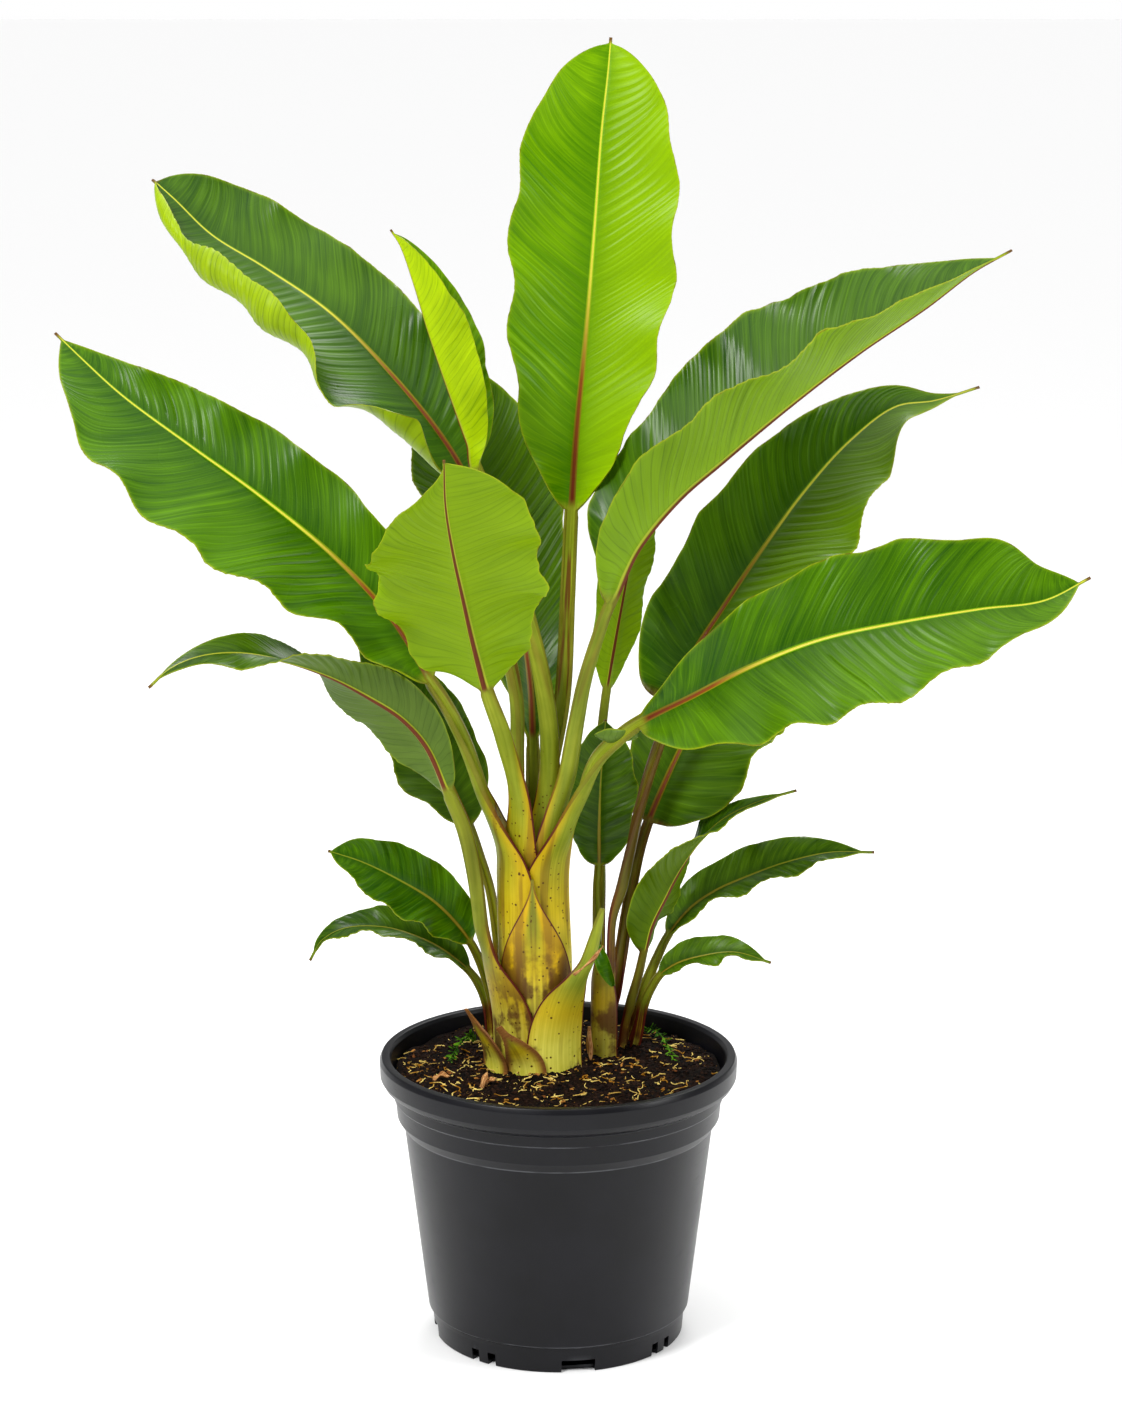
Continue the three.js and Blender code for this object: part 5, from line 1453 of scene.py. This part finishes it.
def soil_mesh():
    """A closed round bed with a lumpy top."""
    rings = SOIL_RINGS
    segments = SOIL_SEGMENTS
    angle = np.linspace(0, 2 * np.pi, segments, endpoint=False)
    radius = SOIL_RADIUS * np.linspace(0, 1, rings + 1)[1:]
    x = radius[:, None] * np.cos(angle)
    y = radius[:, None] * np.sin(angle)
    z = SOIL_LEVEL + sum(h * np.sin(x * px + y * py + start) for h, px, py, start in SOIL_RIPPLES)

    def lump(u, v):
        return fractal(Vector((u * LUMP_SCALE, v * LUMP_SCALE, 0)), 0.8, 2.1, 4)

    lumps = [[lump(u, v) for u, v in zip(us, vs)] for us, vs in zip(x, y)]
    z = z + SOIL_LUMP * np.array(lumps) * smooth((SOIL_RADIUS - radius[:, None]) / 8)
    top = np.stack([x, y, z], axis=-1).reshape(-1, 3)
    rim = top[-segments:]
    wall = rim * (SOIL_TAPER, SOIL_TAPER, 0) + (0, 0, SOIL_FOOT)
    points = np.vstack([top, wall, [(0, 0, SOIL_LEVEL + 1.5), (0, 0, SOIL_FOOT)]]) * MM
    faces = []
    for ring in range(rings):
        for step in range(segments):
            here = ring * segments + step
            beside = ring * segments + (step + 1) % segments
            faces.append((here, here + segments, beside + segments, beside))
    middle = len(points) - 2
    for step in range(segments):
        beside = (step + 1) % segments
        faces.append((middle, step, beside))
        faces.append((middle + 1, rings * segments + beside, rings * segments + step))
    mesh = bpy.data.meshes.new("soil bed")
    mesh.from_pydata(points.tolist(), [], faces)
    mesh.shade_smooth()
    return mesh


def soil_material():
    material, tree, shader = new_material("soil")
    place = object_place(tree)
    clouds = effect(tree, MOTTLE, Vector=place, Scale=70.0)
    color = blend(tree, clouds, srgb(8, 4, 2), srgb(28, 14, 7))
    bright = effect(tree, SPECKS, Vector=place, Scale=420.0, Size=0.16, Share=0.12)
    color = blend(tree, bright, color, srgb(150, 104, 40))
    put(tree, shader.inputs["Base Color"], color)
    shader.inputs["Roughness"].default_value = 0.85
    shader.inputs["Specular IOR Level"].default_value = 0.08
    add_bump(tree, shader, noise(tree, place, 520.0, 5.0, 0.75), 1.0, 0.003)
    return material


soil = add_object("soil_bed", soil_mesh())
soil.data.materials.append(soil_material())
settle(soil, "soil")
print("soil faces:", len(soil.data.polygons))

# %% Scatter trees
LITTER_RADIUS = 0.1235
FIBRE_SIDES = 4
FIBRE_BEND = (0.022, 0.022, 0.006)
NOISE_MIDDLE = (0.5, 0.5, 0.42)


def litter_points(tree, given):
    """Points on the top of the bed, kept off its very edge."""
    normal = field(tree, "GeometryNodeInputNormal")
    up = calc(tree, "GREATER_THAN", node(tree, "ShaderNodeSeparateXYZ", {0: normal}).outputs[2], 0.35)
    place = field(tree, "GeometryNodeInputPosition")
    flat = vector_calc(tree, "MULTIPLY", place, (1, 1, 0))
    reach = node(tree, "ShaderNodeVectorMath", {0: flat}, operation="LENGTH").outputs["Value"]
    inside = calc(tree, "LESS_THAN", reach, LITTER_RADIUS)
    inputs = {"Mesh": given.outputs["Mesh"], "Selection": up * inside,
              "Density": given.outputs["Density"], "Seed": given.outputs["Seed"]}
    return node(tree, "GeometryNodeDistributePointsOnFaces", inputs).outputs["Points"]


def tube(tree, line, sides, radius):
    """A closed tube along each line."""
    ring = field(tree, "GeometryNodeCurvePrimitiveCircle", {"Resolution": sides, "Radius": radius})
    inputs = {"Curve": line, "Profile Curve": ring, "Fill Caps": True}
    return field(tree, "GeometryNodeCurveToMesh", inputs)


def make_crumb_tree():
    tree, given, out = geometry_tree(
        "crumbs", dict(Density=NUMBER, Size=NUMBER, Flatness=NUMBER, Seed=WHOLE, Material=MATERIAL))
    points = litter_points(tree, given)
    crumb = field(tree, "GeometryNodeMeshIcoSphere", {"Radius": 1.0, "Subdivisions": 1})
    size = random_value(tree, "FLOAT", 0.35, 1.0, given.outputs["Seed"])
    whole = Value(given.outputs["Size"]) * size
    shape = random_value(tree, "FLOAT_VECTOR", (0.6, 0.35, 0.3), (1.3, 0.9, 0.8), 3)
    shape = vector_calc(tree, "MULTIPLY", shape, vector_of(tree, 1.0, 1.0, given.outputs["Flatness"]))
    scale = field(tree, "ShaderNodeVectorMath", {0: shape, "Scale": whole}, operation="SCALE")
    turn = random_value(tree, "FLOAT_VECTOR", (-0.5, -0.5, 0.0), (0.5, 0.5, 6.28), 5)
    inputs = {"Points": points, "Instance": crumb, "Rotation": turn, "Scale": scale}
    litter = field(tree, "GeometryNodeInstanceOnPoints", inputs)
    finish_tree(tree, out, litter, given.outputs["Material"])
    return tree


def make_fibre_tree():
    tree, given, out = geometry_tree(
        "fibres", dict(Density=NUMBER, Length=NUMBER, Thickness=NUMBER, Seed=WHOLE, Material=MATERIAL))
    points = litter_points(tree, given)
    half = Value(given.outputs["Length"]) * 0.5
    inputs = {"Start": vector_of(tree, half * -1.0, 0.0), "End": vector_of(tree, half, 0.0)}
    line = field(tree, "GeometryNodeCurvePrimitiveLine", inputs)
    line = field(tree, "GeometryNodeResampleCurve", {"Curve": line, "Count": 8})
    turn = random_value(tree, "FLOAT_VECTOR", (-0.1, -0.25, 0.0), (0.1, 0.25, 6.28), 8)
    stretch = vector_of(tree, random_value(tree, "FLOAT", 0.25, 1.0, 9), 1.0, 1.0)
    inputs = {"Points": points, "Instance": line, "Rotation": turn, "Scale": stretch}
    lines = field(tree, "GeometryNodeInstanceOnPoints", inputs)
    lines = field(tree, "GeometryNodeRealizeInstances", {0: lines})
    waves = node(tree, "ShaderNodeTexNoise", {"Scale": 130.0, "Detail": 1.0}).outputs["Color"]
    bend = vector_calc(tree, "SUBTRACT", waves, NOISE_MIDDLE)
    bend = vector_calc(tree, "MULTIPLY", bend, FIBRE_BEND)
    lines = field(tree, "GeometryNodeSetPosition", {"Geometry": lines, "Offset": bend})
    straws = tube(tree, lines, FIBRE_SIDES, given.outputs["Thickness"])
    finish_tree(tree, out, straws, given.outputs["Material"])
    return tree


# %% Litter finishes


def litter_material(name, dark, light, scale):
    """A dry bit whose tone changes from one bit to the next."""
    material, tree, shader = new_material(name)
    place = object_place(tree)
    tone = noise(tree, place, scale, 1.0)
    color = blend(tree, fade(tree, tone, 0.36, 0.64), dark, light)
    fine = noise(tree, place, 1500.0, 2.0)
    color = blend(tree, fine * 0.3, color, dark)
    put(tree, shader.inputs["Base Color"], color)
    shader.inputs["Roughness"].default_value = 0.8
    shader.inputs["Specular IOR Level"].default_value = 0.1
    add_bump(tree, shader, fine, 0.4, 0.0005)
    return material


crumb_finish = litter_material("crumb", srgb(6, 3, 2), srgb(40, 21, 10), 220.0)
bark_finish = litter_material("bark chip", srgb(96, 52, 18), srgb(176, 120, 54), 120.0)
straw_finish = litter_material("straw", srgb(150, 100, 20), srgb(246, 220, 124), 90.0)

# %% Scatter the litter
crumb_tree = make_crumb_tree()
fibre_tree = make_fibre_tree()
LITTER = (
    ("soil_crumbs", crumb_tree, crumb_finish, dict(Density=90000.0, Size=0.0028, Flatness=1.0, Seed=4)),
    ("bark_chips", crumb_tree, bark_finish, dict(Density=2400.0, Size=0.0038, Flatness=0.5, Seed=12)),
    ("straw_fibres", fibre_tree, straw_finish,
     dict(Density=4000.0, Length=0.019, Thickness=0.0005, Seed=7)),
    ("fine_fibres", fibre_tree, straw_finish,
     dict(Density=5200.0, Length=0.009, Thickness=0.0003, Seed=23)),
)
for name, tree, finish, values in LITTER:
    piece = bake(name, soil.data.copy(), tree, dict(Material=finish, **values))
    settle(piece, None)

# %% [markdown]
# ## Small bits
#
# A few bits lie round the stem: dry flakes that have come off the sheaths, and two sprigs of a small
# weed. The low leaf on the right starts with a small ear on the far side of its stalk, the small shoot
# carries a green flap, and the sheath at the right ends in a dried lip. The depth of that lip was
# guessed wrongly: it stands 21 mm in front of its sheath, which shows from the sides.
#
# A flake is one bent strip, so one function makes it, and the same function makes the ear, the flap and
# the lip. A sprig is a stem with leaflets on it, which Geometry Nodes places in turn on its two sides.

# %% Flakes
FLAKE_ROWS = 18
FLAKE_CELLS = 8
FLAKE_THICKNESS = 0.7
FLAKE_FRILL = 1.2


def flake_mesh(name, centre, ahead, side, length, width, arch, roll):
    """A closed pointed strip, arched along its length and rolled across it, in millimetres."""
    ahead = unit(np.array(ahead, float))
    side = np.array(side, float)
    side = unit(side - ahead * (side @ ahead))
    up = np.cross(ahead, side)
    u = np.linspace(0, 1, FLAKE_ROWS)[:, None]
    v = np.linspace(-1, 1, FLAKE_CELLS)[None, :]
    half = width * (0.12 + 0.88 * np.sin(np.pi * np.clip(0.08 + 0.9 * u, 0, 1)) ** 0.7)
    turn = math.radians(roll) * v
    out = half * np.sin(turn) / math.radians(roll)
    lift = half * (1 - np.cos(turn)) / math.radians(roll) + arch * np.sin(np.pi * u)
    lift = lift + FLAKE_FRILL * np.sin(9 * u + 2 * v) * np.abs(v)
    middle = np.array(centre, float) + (u - 0.5)[..., None] * ahead * length
    top = middle + out[..., None] * side + lift[..., None] * up
    low = top - FLAKE_THICKNESS * up
    count = FLAKE_ROWS * FLAKE_CELLS
    points = np.concatenate([top.reshape(-1, 3), low.reshape(-1, 3)]) * MM
    faces = []
    for row in range(FLAKE_ROWS - 1):
        for cell in range(FLAKE_CELLS - 1):
            a = row * FLAKE_CELLS + cell
            square = (a, a + 1, a + FLAKE_CELLS + 1, a + FLAKE_CELLS)
            faces.append(square[::-1])
            faces.append(tuple(number + count for number in square))
        for a, turn_round in ((row * FLAKE_CELLS, False), (row * FLAKE_CELLS + FLAKE_CELLS - 1, True)):
            wall = (a, a + FLAKE_CELLS, a + FLAKE_CELLS + count, a + count)
            faces.append(wall if turn_round else wall[::-1])
    for cell in range(FLAKE_CELLS - 1):
        first = (cell, cell + 1, cell + 1 + count, cell + count)
        faces.append(first)
        last = (FLAKE_ROWS - 1) * FLAKE_CELLS + cell
        faces.append((last + 1, last, last + count, last + 1 + count))
    mesh = bpy.data.meshes.new(name)
    mesh.from_pydata(points.tolist(), [], faces)
    same = 0 * u * v
    facts = dict(share=np.abs(v) + same, across=(1 + np.abs(v)) * half * MM,
                 edge=(1 - np.abs(v)) * half * MM, vein=u * length * MM + same,
                 place=0.5 + same, rust=0.3 + same, gold=same, size=0.4 + same)
    for fact, values in facts.items():
        write_fact(mesh, fact, np.tile(values.ravel(), 2))
    write_fact(mesh, "under", np.repeat([0, 1], count))
    mesh.shade_smooth()
    return mesh


def husk_material():
    """Dry sheath: thin, brown and papery, with fibres along it."""
    material, tree, shader = new_material("dry husk")
    grain = use(tree, STREAKS, Along=attribute(tree, "across"), Across=attribute(tree, "vein"),
                Fineness=2200.0, Stretch=60.0)
    tone = fade(tree, grain.outputs["Fine"], 0.35, 0.65)
    color = blend(tree, tone, srgb(124, 70, 30), srgb(206, 156, 98))
    put(tree, shader.inputs["Base Color"], color)
    shader.inputs["Roughness"].default_value = 0.7
    shader.inputs["Specular IOR Level"].default_value = 0.15
    add_bump(tree, shader, grain.outputs["Fine"], 0.5, 0.0004)
    return material


husk = husk_material()
# Name, middle, way along, way across, length, half-width, arch, roll, finish, and the node that it belongs
# to
FLAKES = (
    ("flake_upright", (25, 20, 226), (-0.05, 0.1, 1), (1, 0.3, 0), 27, 3.2, 1, 70, husk, "soil"),
    ("flake_front", (-57, -47, 217), (0.3, 0.5, 0.75), (1, -0.4, 0), 15, 3.4, -2, 80, husk, "soil"),
    ("flake_front_small", (-52, -46, 216), (0.8, 0.2, 0.5), (0, 1, 0.2), 11, 2.4, 1, 60, husk, "soil"),
    ("flake_left", (-90, -34, 215), (0.9, 0.3, 0.1), (-0.3, 1, 0.2), 14, 3.6, 2, 60, husk, "soil"),
    ("sucker_flap", (37, 24, 288), (0.35, -0.25, -0.9), (1, -0.1, 0.35), 34, 8, 5, 80,
     leaf_finishes["mid"], "sucker_sheath"),
    ("sheath_lip", (23, -36, 310), (0.72, 0.1, 0.7), (0.3, -0.7, -0.5), 32, 1.8, 2, 90,
     husk, "sheath_front_right"),
    ("leaf_ear", (44, -24, 484), (-0.9, 0.3, -0.1), (0.3, -0.5, 0.9), 34, 8, -5, 60,
     leaf_finishes["dark"], "leaf_right_low"),
)
for name, centre, ahead, side, length, width, arch, roll, finish, slot_of in FLAKES:
    mesh = flake_mesh(name, centre, ahead, side, length, width, arch, roll)
    mesh.materials.append(finish)
    settle(add_object(name, mesh), None)
    print(name, "faces:", len(mesh.polygons))

# %% Sprigs
SPRIG_SIDES = 6
SPRIG_RADIUS = 0.0006
LEAFLETS = 44
LEAFLET_LENGTH = 0.0045
LEAFLET_FORM = (1.0, 0.22, 0.12)
SPRIGS = (
    ("sprig_left", [(-66, 68, 212), (-70, 58, 220), (-77, 42, 221), (-83, 24, 216), (-86, 14, 214)]),
    ("sprig_right", [(69, 92, 212), (75, 78, 219), (82, 58, 220), (87, 34, 217), (90, 16, 214)]),
)


def make_sprig_tree():
    tree, given, out = geometry_tree(
        "sprig", dict(Leaflet_Length=NUMBER, Leaflets=WHOLE, Material=MATERIAL))
    line = field(tree, "GeometryNodeMeshToCurve", {0: given.outputs["Mesh"]})
    line = field(tree, "GeometryNodeCurveSplineType", {0: line}, spline_type="CATMULL_ROM")
    spots = node(tree, "GeometryNodeCurveToPoints", {"Curve": line, "Count": given.outputs["Leaflets"]})
    leaflet = field(tree, "GeometryNodeMeshIcoSphere", {"Radius": 1.0, "Subdivisions": 1})
    moved = field(tree, "GeometryNodeTransform", {"Geometry": leaflet, "Translation": (0.9, 0, 0)})
    tangent = {"Vector": spots.outputs["Tangent"]}
    aligned = field(tree, "FunctionNodeAlignRotationToVector", tangent, axis="X")
    number = field(tree, "GeometryNodeInputIndex")
    side = calc(tree, "MODULO", number, 2.0) * 2.0 - 1.0
    swing = side * random_value(tree, "FLOAT", 0.3, 1.1, 2)
    tilt = random_value(tree, "FLOAT", -0.9, 0.3, 6)
    inputs = {0: aligned, 1: vector_of(tree, 0.0, tilt, swing)}
    turned = field(tree, "FunctionNodeRotateRotation", inputs, rotation_space="LOCAL")
    size = Value(given.outputs["Leaflet Length"]) * random_value(tree, "FLOAT", 0.6, 1.0, 4)
    size = field(tree, "ShaderNodeVectorMath", {0: LEAFLET_FORM, "Scale": size}, operation="SCALE")
    inputs = {"Points": spots.outputs["Points"], "Instance": moved, "Rotation": turned, "Scale": size}
    leaflets = field(tree, "GeometryNodeInstanceOnPoints", inputs)
    stem = tube(tree, line, SPRIG_SIDES, SPRIG_RADIUS)
    both = node(tree, "GeometryNodeJoinGeometry")
    put(tree, both.inputs[0], leaflets)
    put(tree, both.inputs[0], stem)
    finish_tree(tree, out, both.outputs[0], given.outputs["Material"])
    return tree


sprig_tree = make_sprig_tree()
sprig_finish = litter_material("sprig", srgb(26, 62, 2), srgb(92, 146, 16), 160.0)
for name, points in SPRIGS:
    values = {"Leaflet Length": LEAFLET_LENGTH, "Leaflets": LEAFLETS, "Material": sprig_finish}
    settle(bake(name, line_mesh(name, points), sprig_tree, values), None)
